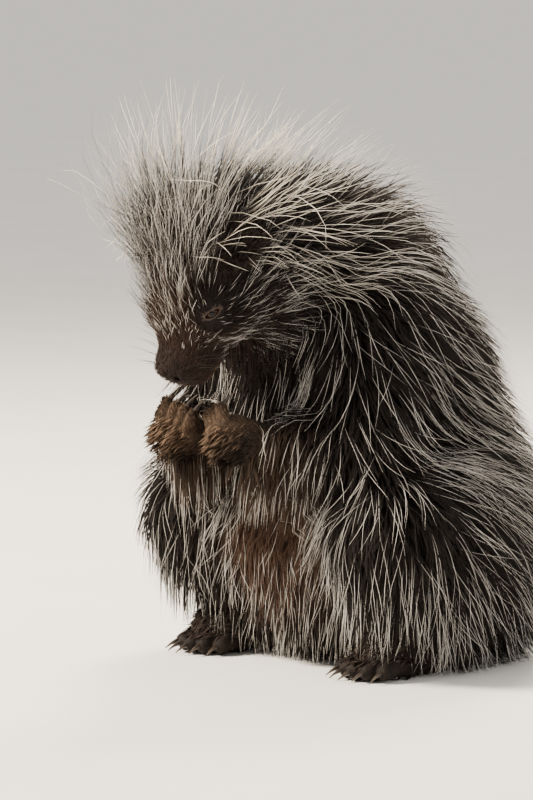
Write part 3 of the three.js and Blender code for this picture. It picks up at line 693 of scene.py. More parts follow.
def bake_map(piece, places):
    mesh = piece.data
    corners = np.empty(len(mesh.loops), np.int32)
    mesh.loops.foreach_get("vertex_index", corners)
    layer = mesh.uv_layers.get("OFBake") or mesh.uv_layers.new(name="OFBake")
    layer.data.foreach_set("uv", places[corners].astype(np.float32).ravel())
    layer.active = True
    layer.active_render = True


def patch_places(unwrap, share, around):
    """A point's place in the patch of its tuft: along it, and around it."""
    return unwrap + PATCH * np.stack([share - 0.5, around - 0.5], -1)


def tuft_piece(name, paths, widths, flatness, out, unwrap, roots_colour, tips_colour, material):
    """Flat tapered tufts with three sides, as one joined mesh from arrays."""
    count, places = paths.shape[:2]
    along = unit(np.gradient(paths, axis=1))
    side = unit(np.cross(along, np.broadcast_to(out[:, None], along.shape)))
    ridge = np.cross(side, along)
    share = np.linspace(0, 1, places)
    girth = (widths[:, None] * np.sin(math.pi * (TUFT_BASE + (1 - TUFT_BASE) * share)) / 2)[..., None]
    rings = [paths + ridge * girth * 2 * flatness, paths + side * girth, paths - side * girth]
    points = np.stack(rings, 2)
    points[:, -1] = paths[:, -1:]
    points[:, -1, 1:] += side[:, -1:] * np.array([[[TUFT_TIP], [-TUFT_TIP]]])
    points = points.reshape(-1, 3)
    ring = np.arange(places - 1)[:, None] * 3
    quads = []
    for s in range(3):
        t = (s + 1) % 3
        quads.append(np.concatenate([ring + s, ring + t, ring + 3 + t, ring + 3 + s], 1))
    quads = np.concatenate(quads)
    tris = np.concatenate([quads[:, [0, 1, 2]], quads[:, [0, 2, 3]], [[0, 2, 1]]])
    tris = np.concatenate([tris, [[3 * places - 3, 3 * places - 2, 3 * places - 1]]])
    starts = (np.arange(count) * places * 3)[:, None, None]
    piece = mesh_piece(name, points, (tris[None] + starts).reshape(-1, 3), material)
    shares = np.broadcast_to(share[None, :, None], (count, places, 3)).ravel()
    around = np.broadcast_to(np.array([0.5, 0, 1])[None, None], (count, places, 3)).ravel()
    repeat = places * 3
    paint(piece, "fur", np.repeat(roots_colour, repeat, 0))
    paint(piece, "tip", np.repeat(tips_colour, repeat, 0))
    number_layer(piece.data, "share", shares)
    bake_map(piece, patch_places(np.repeat(unwrap, repeat, 0), shares, around))
    return piece


# Hairs are tubes swept along paths by a node tree.
HAIR_SIDES = 3
HAIR_SEED = 3
HAIR_BASE = 0.28
WIDTH_SPREAD = 0.25


def socket_id(tree, name):
    inputs = [item for item in tree.interface.items_tree if item.in_out == "INPUT"]
    return next(item.identifier for item in inputs if item.name == name)


def strand_tree():
    tree = bpy.data.node_groups.new("Hairs along paths", "GeometryNodeTree")
    tree.is_modifier = True
    for name, kind in (
        ("Paths", "NodeSocketGeometry"),
        ("Width", "NodeSocketFloat"),
        ("Width Spread", "NodeSocketFloat"),
        ("Sides", "NodeSocketInt"),
        ("Seed", "NodeSocketInt"),
        ("Material", "NodeSocketMaterial"),
    ):
        tree.interface.new_socket(name, in_out="INPUT", socket_type=kind)
    tree.interface.new_socket("Hairs", in_out="OUTPUT", socket_type="NodeSocketGeometry")
    add, link = tree.nodes.new, tree.links.new
    given, result = add("NodeGroupInput"), add("NodeGroupOutput")

    def math_node(operation, a, b):
        node = add("ShaderNodeMath")
        node.operation = operation
        for socket, value in zip(node.inputs, (a, b)):
            if hasattr(value, "links"):
                link(value, socket)
            else:
                socket.default_value = value
        return node.outputs[0]

    def attribute(name, kind):
        node = add("GeometryNodeInputNamedAttribute")
        node.data_type = kind
        node.inputs["Name"].default_value = name
        return node.outputs["Attribute"]

    spread = add("FunctionNodeRandomValue")
    spread.data_type = "FLOAT"
    floats = [socket for socket in spread.inputs if socket.enabled]
    link(math_node("SUBTRACT", 1.0, given.outputs["Width Spread"]), floats[0])
    link(math_node("ADD", 1.0, given.outputs["Width Spread"]), floats[1])
    link(attribute("strand", "INT"), spread.inputs["ID"])
    link(given.outputs["Seed"], spread.inputs["Seed"])
    drawn = next(socket for socket in spread.outputs if socket.enabled)
    width = math_node("MULTIPLY", given.outputs["Width"], attribute("thickness", "FLOAT"))
    radius = math_node("MULTIPLY", math_node("MULTIPLY", width, drawn), 0.5)
    curves = add("GeometryNodeMeshToCurve")
    link(given.outputs["Paths"], curves.inputs["Mesh"])
    section = add("GeometryNodeCurvePrimitiveCircle")
    section.inputs["Radius"].default_value = 1.0
    link(given.outputs["Sides"], section.inputs["Resolution"])
    tubes = add("GeometryNodeCurveToMesh")
    sized = add("GeometryNodeSetCurveRadius")
    link(curves.outputs[0], sized.inputs["Curve"])
    link(radius, sized.inputs["Radius"])
    link(sized.outputs[0], tubes.inputs["Curve"])
    if "Scale" in tubes.inputs:
        link(radius, tubes.inputs["Scale"])
    link(section.outputs[0], tubes.inputs["Profile Curve"])
    tubes.inputs["Fill Caps"].default_value = True
    smooth = add("GeometryNodeSetShadeSmooth")
    real = add("GeometryNodeRealizeInstances")
    finish = add("GeometryNodeSetMaterial")
    link(tubes.outputs[0], smooth.inputs[0])
    link(smooth.outputs[0], real.inputs[0])
    link(real.outputs[0], finish.inputs["Geometry"])
    link(given.outputs["Material"], finish.inputs["Material"])
    link(finish.outputs[0], result.inputs[0])
    return tree


STRANDS = strand_tree()
TIP_THICKNESS = 0.16


def hair_piece(name, paths, widths, unwrap, roots_colour, tips_colour, material):
    """Hairs along paths as one plain mesh, each thickest near a third of its length."""
    count, places = paths.shape[:2]
    mesh = bpy.data.meshes.new(name + "_paths")
    mesh.vertices.add(count * places)
    mesh.vertices.foreach_set("co", (paths.reshape(-1, 3) * MM).astype(np.float32).ravel())
    first = (np.arange(count)[:, None] * places + np.arange(places - 1)).ravel()
    mesh.edges.add(len(first))
    mesh.edges.foreach_set("vertices", np.stack([first, first + 1], 1).astype(np.int32).ravel())
    share = np.linspace(0, 1, places)
    taper = TIP_THICKNESS + (1 - TIP_THICKNESS) * np.sin(math.pi * (HAIR_BASE + (1 - HAIR_BASE) * share))
    number_layer(mesh, "thickness", (np.broadcast_to(widths, count)[:, None] * taper).ravel())
    number_layer(mesh, "share", np.tile(share, count))
    number_layer(mesh, "root_u", np.repeat(unwrap[:, 0], places))
    number_layer(mesh, "root_v", np.repeat(unwrap[:, 1], places))
    strand = np.repeat(np.arange(count), places).astype(np.int32)
    mesh.attributes.new("strand", "INT", "POINT").data.foreach_set("value", strand)
    source = bpy.data.objects.new(name + "_paths", mesh)
    bpy.context.collection.objects.link(source)
    paint(source, "fur", np.repeat(roots_colour, places, 0))
    paint(source, "tip", np.repeat(tips_colour, places, 0))
    modifier = source.modifiers.new("Hairs", "NODES")
    modifier.node_group = STRANDS
    for key, value in (("Width", MM), ("Width Spread", WIDTH_SPREAD), ("Sides", HAIR_SIDES),
                       ("Seed", HAIR_SEED), ("Material", material)):
        modifier[socket_id(STRANDS, key)] = value
    graph = bpy.context.evaluated_depsgraph_get()
    tubes = source.evaluated_get(graph)
    made = bpy.data.meshes.new_from_object(tubes, preserve_all_data_layers=True, depsgraph=graph)
    bpy.data.objects.remove(source)
    made.name = name
    piece = bpy.data.objects.new(name, made)
    bpy.context.collection.objects.link(piece)
    values = {}
    for key in ("share", "root_u", "root_v"):
        values[key] = np.empty(len(made.vertices), np.float32)
        made.attributes[key].data.foreach_get("value", values[key])
    around = (np.arange(len(made.vertices)) % HAIR_SIDES) / (HAIR_SIDES - 1)
    bake_map(piece, patch_places(np.stack([values["root_u"], values["root_v"]], 1), values["share"], around))
    return piece


# Materials.
IRIS_BROWN = (0.020, 0.008, 0.004, 1)
PUPIL_BLACK = (0.002, 0.002, 0.002, 1)
HORN_DARK = (0.030, 0.021, 0.016, 1)
HORN_PALE = (0.105, 0.075, 0.052, 1)
FUR_BUMP = 0.0012
BUMP_STRENGTH = 0.6


def new_material(name, roughness, **constants):
    material = bpy.data.materials.new(name)
    material.use_nodes = True
    shader = material.node_tree.nodes["Principled BSDF"]
    shader.inputs["Roughness"].default_value = roughness
    for key, value in constants.items():
        shader.inputs[key.replace("_", " ")].default_value = value
    return material, material.node_tree.nodes, material.node_tree.links.new, shader


def named_colour(nodes, name):
    node = nodes.new("ShaderNodeAttribute")
    node.attribute_name = name
    return node


def colour_mix(nodes, link, kind, factor, a, b):
    node = nodes.new("ShaderNodeMix")
    node.data_type = "RGBA"
    node.blend_type = kind
    sockets = [socket for socket in node.inputs if socket.enabled]
    for socket, value in zip(sockets, (factor, a, b)):
        if hasattr(value, "links"):
            link(value, socket)
        else:
            socket.default_value = value
    return next(socket for socket in node.outputs if socket.enabled)


def noise(nodes, link, scale, detail, stretch=(1, 1, 1)):
    place = nodes.new("ShaderNodeTexCoord")
    turn = nodes.new("ShaderNodeMapping")
    made = nodes.new("ShaderNodeTexNoise")
    turn.inputs["Scale"].default_value = stretch
    link(place.outputs["Object"], turn.inputs["Vector"])
    link(turn.outputs[0], made.inputs["Vector"])
    made.inputs["Scale"].default_value = scale
    made.inputs["Detail"].default_value = detail
    return made.outputs["Fac"]


def ramp(nodes, link, factor, *stops):
    node = nodes.new("ShaderNodeValToRGB")
    ends = node.color_ramp.elements
    while len(ends) < len(stops):
        ends.new(0.5)
    for end, (place, grey) in zip(ends, stops):
        end.position = place
        end.color = (grey, grey, grey, 1)
    link(factor, node.inputs["Fac"])
    return node.outputs["Color"]


def skin_material():
    """Short flat fur: the markings, broken up by fine grain, with a bump that runs down the body."""
    material, nodes, link, shader = new_material("short fur", 0.75, Specular_IOR_Level=0.15)
    grain = noise(nodes, link, 420, 4, (1, 1, 0.25))
    patches = noise(nodes, link, 40, 3)
    base = named_colour(nodes, "fur").outputs["Color"]
    shade = colour_mix(nodes, link, "MULTIPLY", 1.0, base, ramp(nodes, link, grain, (0.3, 0.45), (0.7, 1.25)))
    mottling = ramp(nodes, link, patches, (0.3, 0.7), (0.7, 1.15))
    link(colour_mix(nodes, link, "MULTIPLY", 1.0, shade, mottling), shader.inputs["Base Color"])
    bump = nodes.new("ShaderNodeBump")
    bump.inputs["Distance"].default_value = FUR_BUMP
    bump.inputs["Strength"].default_value = BUMP_STRENGTH
    link(grain, bump.inputs["Height"])
    link(bump.outputs[0], shader.inputs["Normal"])
    return material


def hair_material(name, roughness, gloss, starts, ends):
    """Hair that turns from the fur's colour to its tip's between two shares of its length."""
    material, nodes, link, shader = new_material(name, roughness, Specular_IOR_Level=gloss)
    share = named_colour(nodes, "share").outputs["Fac"]
    pale = ramp(nodes, link, share, (starts, 0.0), (ends, 1.0))
    fur, tip = (named_colour(nodes, key).outputs["Color"] for key in ("fur", "tip"))
    blended = colour_mix(nodes, link, "MIX", pale, fur, tip)
    patches = noise(nodes, link, 260, 2)
    mottling = ramp(nodes, link, patches, (0.3, 0.8), (0.7, 1.12))
    link(colour_mix(nodes, link, "MULTIPLY", 1.0, blended, mottling), shader.inputs["Base Color"])
    return material


def eye_material():
    """A wet dark eye: a brown iris round a black pupil, under a clear coat."""
    material, nodes, link, shader = new_material(
        "eye", 0.12, Specular_IOR_Level=0.12, Coat_Weight=0.08, Coat_Roughness=0.02)
    share = named_colour(nodes, "share").outputs["Fac"]
    iris = ramp(nodes, link, noise(nodes, link, 900, 3), (0.3, 0.5), (0.7, 1.2))
    brown = colour_mix(nodes, link, "MULTIPLY", 1.0, IRIS_BROWN, iris)
    pupil = ramp(nodes, link, share, (0.30, 0.0), (0.36, 1.0))
    rim = ramp(nodes, link, share, (0.80, 1.0), (0.95, 0.25))
    ringed = colour_mix(nodes, link, "MIX", pupil, PUPIL_BLACK, brown)
    link(colour_mix(nodes, link, "MULTIPLY", 1.0, ringed, rim), shader.inputs["Base Color"])
    return material


def claw_material():
    """Horn, streaked along its length and paler at its worn tip."""
    material, nodes, link, shader = new_material("horn", 0.35, Coat_Weight=0.2, Coat_Roughness=0.3)
    share = named_colour(nodes, "share").outputs["Fac"]
    streaks = ramp(nodes, link, noise(nodes, link, 500, 4), (0.3, 0.6), (0.7, 1.25))
    worn = ramp(nodes, link, share, (0.4, 0.0), (1.0, 1.0))
    horn = colour_mix(nodes, link, "MIX", worn, HORN_DARK, HORN_PALE)
    link(colour_mix(nodes, link, "MULTIPLY", 1.0, horn, streaks), shader.inputs["Base Color"])
    return material


SKIN_FUR = skin_material()
GUARD = hair_material("pale-tipped guard hair", 0.42, gloss=0.35, starts=0.3, ends=0.66)
DARK_HAIR = hair_material("dark hair", 0.6, gloss=0.1, starts=0.5, ends=1.0)
SHORT_FUR = hair_material("short soft fur", 0.75, gloss=0.12, starts=0.2, ends=1.0)
EYE = eye_material()
HORN = claw_material()


# The skin: one closed surface, coarser on the trunk and finer on the head, ears, hands and feet.
TRUNK_CELL = 4.4
HEAD_CELL = 1.35
EAR_CELL = 0.95
PAW_CELL = 1.25
FOOT_CELL = 1.6
HEAD_BOX = (vec(-56, -225, 190), vec(56, -84, 345))
BODY_BOX = (vec(-146, -178, -4), vec(146, 316, 360))
EAR_BOX = 21
FOOT_LOW, FOOT_HIGH = vec(34, 72, 26), vec(34, 56, 30)
HAND_BOX = vec(42, 44, 36)
HEAD_BACK = in_head(0, -38, 0)
HEAD_MIDDLE = in_head(0, 20, 0)
HEAD_REACH = 68
OVERLAP = 5.0
UNWRAP_ANGLE = math.radians(66)
UNWRAP_MARGIN = 0.002


def headness(points):
    """How far a point is inside the part of the head that gets the finer surface."""
    ahead = (points - HEAD_BACK) @ FORWARD
    return np.minimum(ahead, HEAD_REACH - np.linalg.norm(points - HEAD_MIDDLE, axis=1))


def body_surface():
    field = floored(lambda q: body_distance(q, 0.0, TRUNK + HEAD + FOREARMS + PALMS))
    points, faces = net(field, *BODY_BOX, TRUNK_CELL)
    return keep_faces(points, faces, lambda q: headness(q) < OVERLAP)


def head_surface():
    points, faces = net(face_distance, *HEAD_BOX, HEAD_CELL)
    return keep_faces(points, faces, lambda q: headness(q) > 0)


def ear_surface(side):
    middle = ear_at(side) + ear_way(side) * EAR_SEAT
    return net(ear_distance(side), middle - EAR_BOX, middle + EAR_BOX, EAR_CELL)


def foot_surface(side):
    centre = flip((HEEL + TOE_ROOT) / 2, side)
    return net(paw_distance(SOLES[:1], TOE_SET, side), centre - FOOT_LOW, centre + FOOT_HIGH, FOOT_CELL)


def hand_surface(side):
    centre = flip(KNUCKLES, side)
    return net(paw_distance(PALMS[:1], FINGER_SET, side), centre - HAND_BOX, centre + HAND_BOX, PAW_CELL)


def unwrapped(piece):
    """The piece's own bake map, unwrapped by which way its faces look: a place for each corner."""
    bpy.ops.object.select_all(action="DESELECT")
    bpy.context.view_layer.objects.active = piece
    piece.select_set(True)
    piece.data.uv_layers.new(name="OFBake")
    bpy.ops.object.mode_set(mode="EDIT")
    bpy.ops.mesh.select_all(action="SELECT")
    bpy.ops.uv.smart_project(angle_limit=UNWRAP_ANGLE, island_margin=UNWRAP_MARGIN)
    bpy.ops.object.mode_set(mode="OBJECT")
    places = np.empty(2 * len(piece.data.loops), np.float32)
    piece.data.uv_layers["OFBake"].data.foreach_get("uv", places)
    return places.reshape(-1, 4, 2)


UNDER_FUR = 0.7


def skin_piece(name, parts):
    points, faces = join(parts)
    piece = mesh_piece(name, points, faces, SKIN_FUR)
    paint(piece, "fur", fur_colour(points) * UNDER_FUR)
    return piece, Skin(points, faces, unwrapped(piece))


# Eyelids: from a wall that drops to the eyeball, over a thick rim and a crease, to a skirt sunk in the skin.
# Each ring has its share of the way out to the skirt, and its rise over the eyeball and the skin.
LID_POINTS = 64
LID_REACH = 10.8
LID_SKIN = 0.9
LID_SMOOTH = 1.6
LID_NARROW = 0.2
LID_SUNK = 0.4
LID_PASSES = 10
LEAST_SQUARE = 0.5
LID_RINGS = [
    (0.0, -0.3), (0.05, 0.15), (0.13, 0.2), (0.22, -0.1), (0.32, -0.55),
    (0.44, 0.15), (0.6, 0.3), (0.8, 0.1), (1.0, -0.9),
]


def lid_surface(side):
    middle, (corner, tall, out) = eye_at(side), eye_axes(side)
    turn = np.linspace(0, 2 * math.pi, LID_POINTS, endpoint=False)
    around = np.stack([np.cos(turn), np.sin(turn)], 1)
    narrowed = 1 - LID_NARROW * around[:, :1] ** 2 * np.array([0, 1])
    opening = around * np.array([LID_LENGTH, LID_HEIGHT]) * narrowed

    def place(flat, high):
        return middle + flat[:, :1] * corner + flat[:, 1:] * tall + high[:, None] * out

    def ball_height(flat, radius):
        return np.sqrt(np.maximum(radius ** 2 - (flat ** 2).sum(1), LEAST_SQUARE))

    def skin_height(flat):
        high = np.full(len(flat), EYE_RADIUS)
        for _ in range(LID_PASSES):
            high = high - body_distance(place(flat, high), 0.0, TRUNK + HEAD)
        return high

    points = [place(opening, ball_height(opening, EYE_RADIUS) - LID_SUNK)]
    for share, rise in LID_RINGS:
        flat = opening * (1 - share) + around * LID_REACH * share
        high = smooth_max(ball_height(flat, EYE_RADIUS + LID_SKIN), skin_height(flat), LID_SMOOTH)
        points.append(place(flat, high + rise))
    points = np.concatenate(points)
    n = np.arange(LID_POINTS)
    after = (n + 1) % LID_POINTS
    faces = np.concatenate([np.stack([n, after, after + LID_POINTS, n + LID_POINTS], 1) + k * LID_POINTS
                            for k in range(len(LID_RINGS))])
    a, b, c = points[faces[:, 0]], points[faces[:, 1]], points[faces[:, 2]]
    outward = (np.cross(b - a, c - a) @ out).sum() > 0
    return points, faces if outward else faces[:, ::-1]


def eye_piece(name, side):
    """A ball whose pole looks out of the head."""
    out = eye_way(side)
    aside = unit(np.cross(out, UP))
    tall = np.cross(aside, out)
    rings, around = 22, 32
    points, shares = [], []
    for i in range(1, rings):
        polar = math.pi * i / rings
        for j in range(around):
            turn = 2 * math.pi * j / around
            flat = aside * math.cos(turn) + tall * math.sin(turn)
            points.append(eye_at(side) + EYE_RADIUS * (out * math.cos(polar) + flat * math.sin(polar)))
            shares.append(math.sin(polar) if polar < math.pi / 2 else 1)
    points += [eye_at(side) + EYE_RADIUS * out, eye_at(side) - EYE_RADIUS * out]
    shares += [0, 1]
    top, bottom = len(points) - 2, len(points) - 1
    faces = []
    for j in range(around):
        k = (j + 1) % around
        faces.append((top, j, k))
        faces.append((bottom, (rings - 2) * around + k, (rings - 2) * around + j))
        for i in range(rings - 2):
            a, b = i * around + j, i * around + k
            faces += [(a, a + around, b + around), (a, b + around, b)]
    faces = np.array(faces)
    points = np.array(points)
    a, b, c = points[faces].transpose(1, 0, 2)
    outward = (np.cross(b - a, c - a) * (a - eye_at(side))).sum() > 0
    piece = mesh_piece(name, points, faces if outward else faces[:, ::-1], EYE)
    number_layer(piece.data, "share", shares)
    return piece


# Claws: curved horn that tapers from each digit's tip.
CLAW_RADIUS = 2.5
CLAW_LENGTH = 15
CLAW_CURVE = 0.4
CLAW_TAPER = 0.85
CLAW_STEPS = 9
CLAW_SIDES = 10
CLAW_ROUND = 0.6
CLAW_SEAT = 0.3
CLAW_FLAT = 0.75
CLAW_POINT = 0.8
CLAW_CLEAR = 0.3


def claw_points(digit, side):
    tip, point, curl = digit["path"][2], digit["point"], digit["curl"]
    across = unit(np.cross(curl, point))
    rings = []
    for step in range(CLAW_STEPS):
        t = step / (CLAW_STEPS - CLAW_ROUND)
        ahead = digit["radii"][2] * CLAW_SEAT + CLAW_LENGTH * t
        centre = tip + point * ahead + curl * CLAW_LENGTH * CLAW_CURVE * t * t
        r = CLAW_RADIUS * (1 - CLAW_TAPER * t)
        turn = np.linspace(0, 2 * math.pi, CLAW_SIDES, endpoint=False)[:, None]
        rings.append(centre + CLAW_FLAT * r * np.cos(turn) * across + r * np.sin(turn) * curl)
    last, first = rings[-1].mean(0, keepdims=True), rings[0].mean(0, keepdims=True)
    points = np.concatenate(rings + [last + point * CLAW_POINT, first])
    n = np.arange(CLAW_SIDES)
    after = (n + 1) % CLAW_SIDES
    faces = []
    for k in range(CLAW_STEPS - 1):
        here = k * CLAW_SIDES
        faces.append(np.stack([here + n, here + after, here + CLAW_SIDES + after], 1))
        faces.append(np.stack([here + n, here + CLAW_SIDES + after, here + CLAW_SIDES + n], 1))
    last, cap, base = (CLAW_STEPS - 1) * CLAW_SIDES, len(points) - 2, len(points) - 1
    faces.append(np.stack([last + n, last + after, np.full(CLAW_SIDES, cap)], 1))
    faces.append(np.stack([after, n, np.full(CLAW_SIDES, base)], 1))
    points, faces = flip(points, side), np.concatenate(faces)
    points[:, 2] = np.maximum(points[:, 2], CLAW_CLEAR)
    a, b, c = points[faces].transpose(1, 0, 2)
    middle = points.mean(0)
    outward = (np.cross(b - a, c - a) * (a - middle)).sum() > 0
    return points, faces if outward else faces[:, ::-1]


def claw_piece(name, digits, side):
    points, faces = join([claw_points(digit, side) for digit in digits])
    piece = mesh_piece(name, points, faces, HORN)
    rings = np.repeat(np.arange(CLAW_STEPS) / (CLAW_STEPS - 1), CLAW_SIDES)
    shares = np.tile(np.concatenate([rings, [1, 0]]), len(digits))
    number_layer(piece.data, "share", shares)
    return piece


PAIRED = ("upper_arm", "forearm", "thigh", "shank", "ear", "foot")
skin, skin_map = skin_piece("skin", [body_surface(), head_surface()]
                            + [surface(side) for surface in (ear_surface, foot_surface, lid_surface)
                               for side in SIDES.values()])
hands, hand_map = skin_piece("hands", [hand_surface(side) for side in SIDES.values()])
pieces = {"skin": [skin], "paw": [hands], "coat": [], "eye": [], "claw": []}
for name, side in SIDES.items():
    eye = eye_piece("eyeball_" + name, side)
    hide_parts("eye_" + name)
    pieces["eye"].append(eye)
    for kind, digits in (("hand", FINGER_SET), ("foot", TOE_SET)):
        claws = claw_piece(f"claws_{kind}_{name}", digits, side)
        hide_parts(*[f"claw_{kind}_{name}_{n + 1}" for n in range(len(digits))])
        pieces["claw"].append(claws)
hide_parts("torso", "neck", "head", "tail", *[f"{part}_{name}" for part in PAIRED for name in SIDES])
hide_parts(*["hand_" + name for name in SIDES])


# The coat. Pieces are named by the part of the body that their roots are on.
EYE_CLEAR = 6.8
EYE_FRINGE = 1.3
NEAR_EYE = (8, 24)
EAR_CLEAR = 14
EAR_FRINGE = 3
EAR_MIDDLE = 8
EAR_FRONT = 14
EAR_OPEN = 17
EAR_SKIN = 0.8
CROSS_EAR = 0.08
HAND_EDGE = (14, 21)
FOOT_EDGE = (1, 6)
LONG_COAT = (7.0, 13.0)
LOWEST_ROOT = 4
CREST = vec(0, -140, 338)
CREST_REACH = 72
BELLY = vec(0, -92, 178)
BELLY_REACH = vec(66, 54, 112)
BELLY_EDGE = 1.5
BELLY_BARE = 0.9
BROW = (-34, -16)
SILVER = vec(0.74, 0.70, 0.64)
CREAM = vec(0.88, 0.80, 0.66)
TIP_SHADES = (0.75, 1.1)


def gap_to(points, place):
    return np.linalg.norm(points - place, axis=1)


def clear_of_face(points):
    """0 on the lids and in the cups of the ears, 1 everywhere else."""
    clear = np.ones(len(points))
    for side in SIDES.values():
        clear *= smoothstep(gap_to(points, eye_at(side)), EYE_CLEAR, EYE_CLEAR + EYE_FRINGE)
        cup = ear_at(side) + EAR_MIDDLE * ear_way(side)
        clear *= smoothstep(gap_to(points, cup), EAR_CLEAR - EAR_FRINGE, EAR_CLEAR)
    return clear


def near_eye(points):
    """1 at the lids, 0 from two eye widths away."""
    gaps = [gap_to(points, eye_at(side)) for side in SIDES.values()]
    return 1 - smoothstep(np.minimum(*gaps), *NEAR_EYE)


def covers_ear(paths):
    """Which hairs would hide the cup of an ear. A few are let across it."""
    covered = np.zeros(len(paths), bool)
    for side in SIDES.values():
        front = ear_at(side) + ear_way(side) * EAR_FRONT
        covered |= (np.linalg.norm(paths - front, axis=2) < EAR_OPEN).any(1)
    return covered & (RANDOM.random(len(paths)) > CROSS_EAR)


def off_paws(points):
    """0 on the hands and feet, 1 from the wrists and ankles up."""
    hands = np.minimum(*[gap_to(points, flip(KNUCKLES, side)) for side in SIDES.values()])
    feet = np.minimum.reduce([mass_distance(mass, points, 0.0) for mass in SOLES])
    return smoothstep(hands, *HAND_EDGE) * smoothstep(feet, *FOOT_EDGE)


def long_density(points):
    """Where long hair grows: from a deep coat, off the face and the paws, and off the floor."""
    wanted = smoothstep(coat_depth(points), *LONG_COAT) * clear_of_face(points) * off_paws(points)
    return wanted * (points[:, 2] > LOWEST_ROOT)


def crestness(points):
    """1 on the crown and nape, where the longest and palest hair stands up."""
    return np.exp(-((points - CREST) ** 2).sum(1) / CREST_REACH ** 2)


def off_belly(points):
    """Least on the throat, chest and belly, whose short hair has few pale tips."""
    near = np.exp(-((points - BELLY) ** 2 / BELLY_REACH ** 2).sum(1) * BELLY_EDGE)
    return 1 - BELLY_BARE * near


def off_brow(points):
    """0 on the front of the head, whose own fine hairs are made apart."""
    ahead = (points - SKULL) @ FORWARD
    return 1 - (headness(points) > 0) * smoothstep(ahead, *BROW)


REGIONS = ["head", "neck", "tail", "upper_left", "upper_right", "lower_left", "lower_right"]
HEAD_EDGE = -6
NECK_LOW = 262
NECK_REAR = 20
RUMP = 124
WAIST = 160


def region_of(roots):
    """The number in REGIONS of the part that each root is on."""
    side = (roots[:, 0] < 0).astype(int)
    upper, lower = REGIONS.index("upper_left"), REGIONS.index("lower_left")
    found = np.where(roots[:, 2] > WAIST, upper, lower) + side
    found[roots[:, 1] > RUMP] = REGIONS.index("tail")
    found[(roots[:, 2] > NECK_LOW) & (roots[:, 1] < NECK_REAR)] = REGIONS.index("neck")
    found[headness(roots) > HEAD_EDGE] = REGIONS.index("head")
    return found


def by_region(kind, roots, make):
    labels = region_of(roots)
    for n, region in enumerate(REGIONS):
        chosen = labels == n
        if chosen.any():
            pieces["coat"].append(make(f"{kind}_{region}", chosen))


def tip_colour(roots):
    crest = crestness(roots)[:, None]
    return (SILVER * (1 - crest) + CREAM * crest) * RANDOM.uniform(*TIP_SHADES, (len(roots), 1))


def shaded(roots, shades):
    """The fur's colour at each root, a little lighter or darker from one to the next."""
    return fur_colour(roots) * RANDOM.uniform(*shades, (len(roots), 1))


STRAY = 0.18
GUARD_DENSITY = 0.42
GUARD_LENGTHS = (0.8, 1.15)
GUARD_TIPS = (0.85, 1.06)
GUARD_WIDTH = 0.37
GUARD_STEPS = 6
GUARD_WAVE = 0.2
GUARD_BASE = 1.4
WILD_SHARE = 0.08
WILD = 2.5
CREST_DENSITY = 0.75
CREST_WIDTH = 0.38
CREST_CUT = (-0.2, 0.35)
CREST_DROP = (-0.15, 0.2)


def guard_hairs(count):
    """Long hairs with pale tips, sparse on the body, and thicker and more uneven on the crest."""
    def density(points):
        crowding = GUARD_DENSITY + CREST_DENSITY * crestness(points)
        return long_density(points) * crowding * off_belly(points) * off_brow(points)

    roots, unwrap = skin_map.roots(count, density)
    length, tips = comb_at(roots)[1:]
    crest = crestness(roots)
    length = length * RANDOM.uniform(*GUARD_LENGTHS, count)
    length = length * (1 - crest * RANDOM.uniform(*CREST_CUT, count))
    tips = tips * RANDOM.uniform(*GUARD_TIPS, count)
    tips = tips * (1 - crest * RANDOM.uniform(*CREST_DROP, count))
    widths = GUARD_WIDTH + CREST_WIDTH * crest ** 2
    stray = RANDOM.normal(0, STRAY, count)
    stray = stray * np.where(RANDOM.random(count) < WILD_SHARE, WILD, 1) * (1 + crest)
    paths = grow(roots, length, tips, GUARD_STEPS, stray, GUARD_WAVE)
    shown = ~covers_ear(paths)
    roots, unwrap, paths, widths = roots[shown], unwrap[shown], paths[shown], widths[shown]
    fur, tip = fur_colour(roots) * GUARD_BASE, tip_colour(roots)
    by_region("guard_hair", roots, lambda name, c: hair_piece(
        name, paths[c], widths[c], unwrap[c], fur[c], tip[c], GUARD))


DARK_LENGTHS = (0.55, 0.95)
DARK_TIPS = (0.5, 0.86)
DARK_WIDTH = 1.0
DARK_STEPS = 4
DARK_WAVE = 0.18
DARK_SHADES = (0.7, 1.3)
CREST_SHORTER = 0.35
CREST_LOWER = 0.4
TIP_GAIN = 1.5
DARK_GLOW = 0.002


def dark_hairs(count):
    """Shorter dark hairs, which fill the coat between the guard hairs."""
    roots, unwrap = skin_map.roots(count, long_density)
    length, tips = comb_at(roots)[1:]
    crest = crestness(roots)
    length = length * RANDOM.uniform(*DARK_LENGTHS, count) * (1 - CREST_SHORTER * crest)
    tips = tips * RANDOM.uniform(*DARK_TIPS, count) * (1 - CREST_LOWER * crest)
    paths = grow(roots, length, tips, DARK_STEPS, RANDOM.normal(0, STRAY, count), DARK_WAVE)
    shown = ~covers_ear(paths)
    roots, unwrap, paths = roots[shown], unwrap[shown], paths[shown]
    fur = shaded(roots, DARK_SHADES)
    tip = fur * TIP_GAIN + DARK_GLOW
    by_region("dark_hair", roots, lambda name, c: hair_piece(
        name, paths[c], DARK_WIDTH, unwrap[c], fur[c], tip[c], DARK_HAIR))


UNDER_LENGTHS = (0.35, 0.5)
UNDER_TIPS = (0.35, 0.52)
UNDER_WIDTHS = (0.1, 0.16)
UNDER_SHADES = (0.7, 1.2)
UNDER_STEPS = 3
UNDER_STRAY = 0.22
UNDER_WAVE = 0.1
UNDER_FLAT = 0.3
UNDER_GLOW = 0.001
BARE_UNDERFUR = 0.25
BEHIND_HEAD = -10


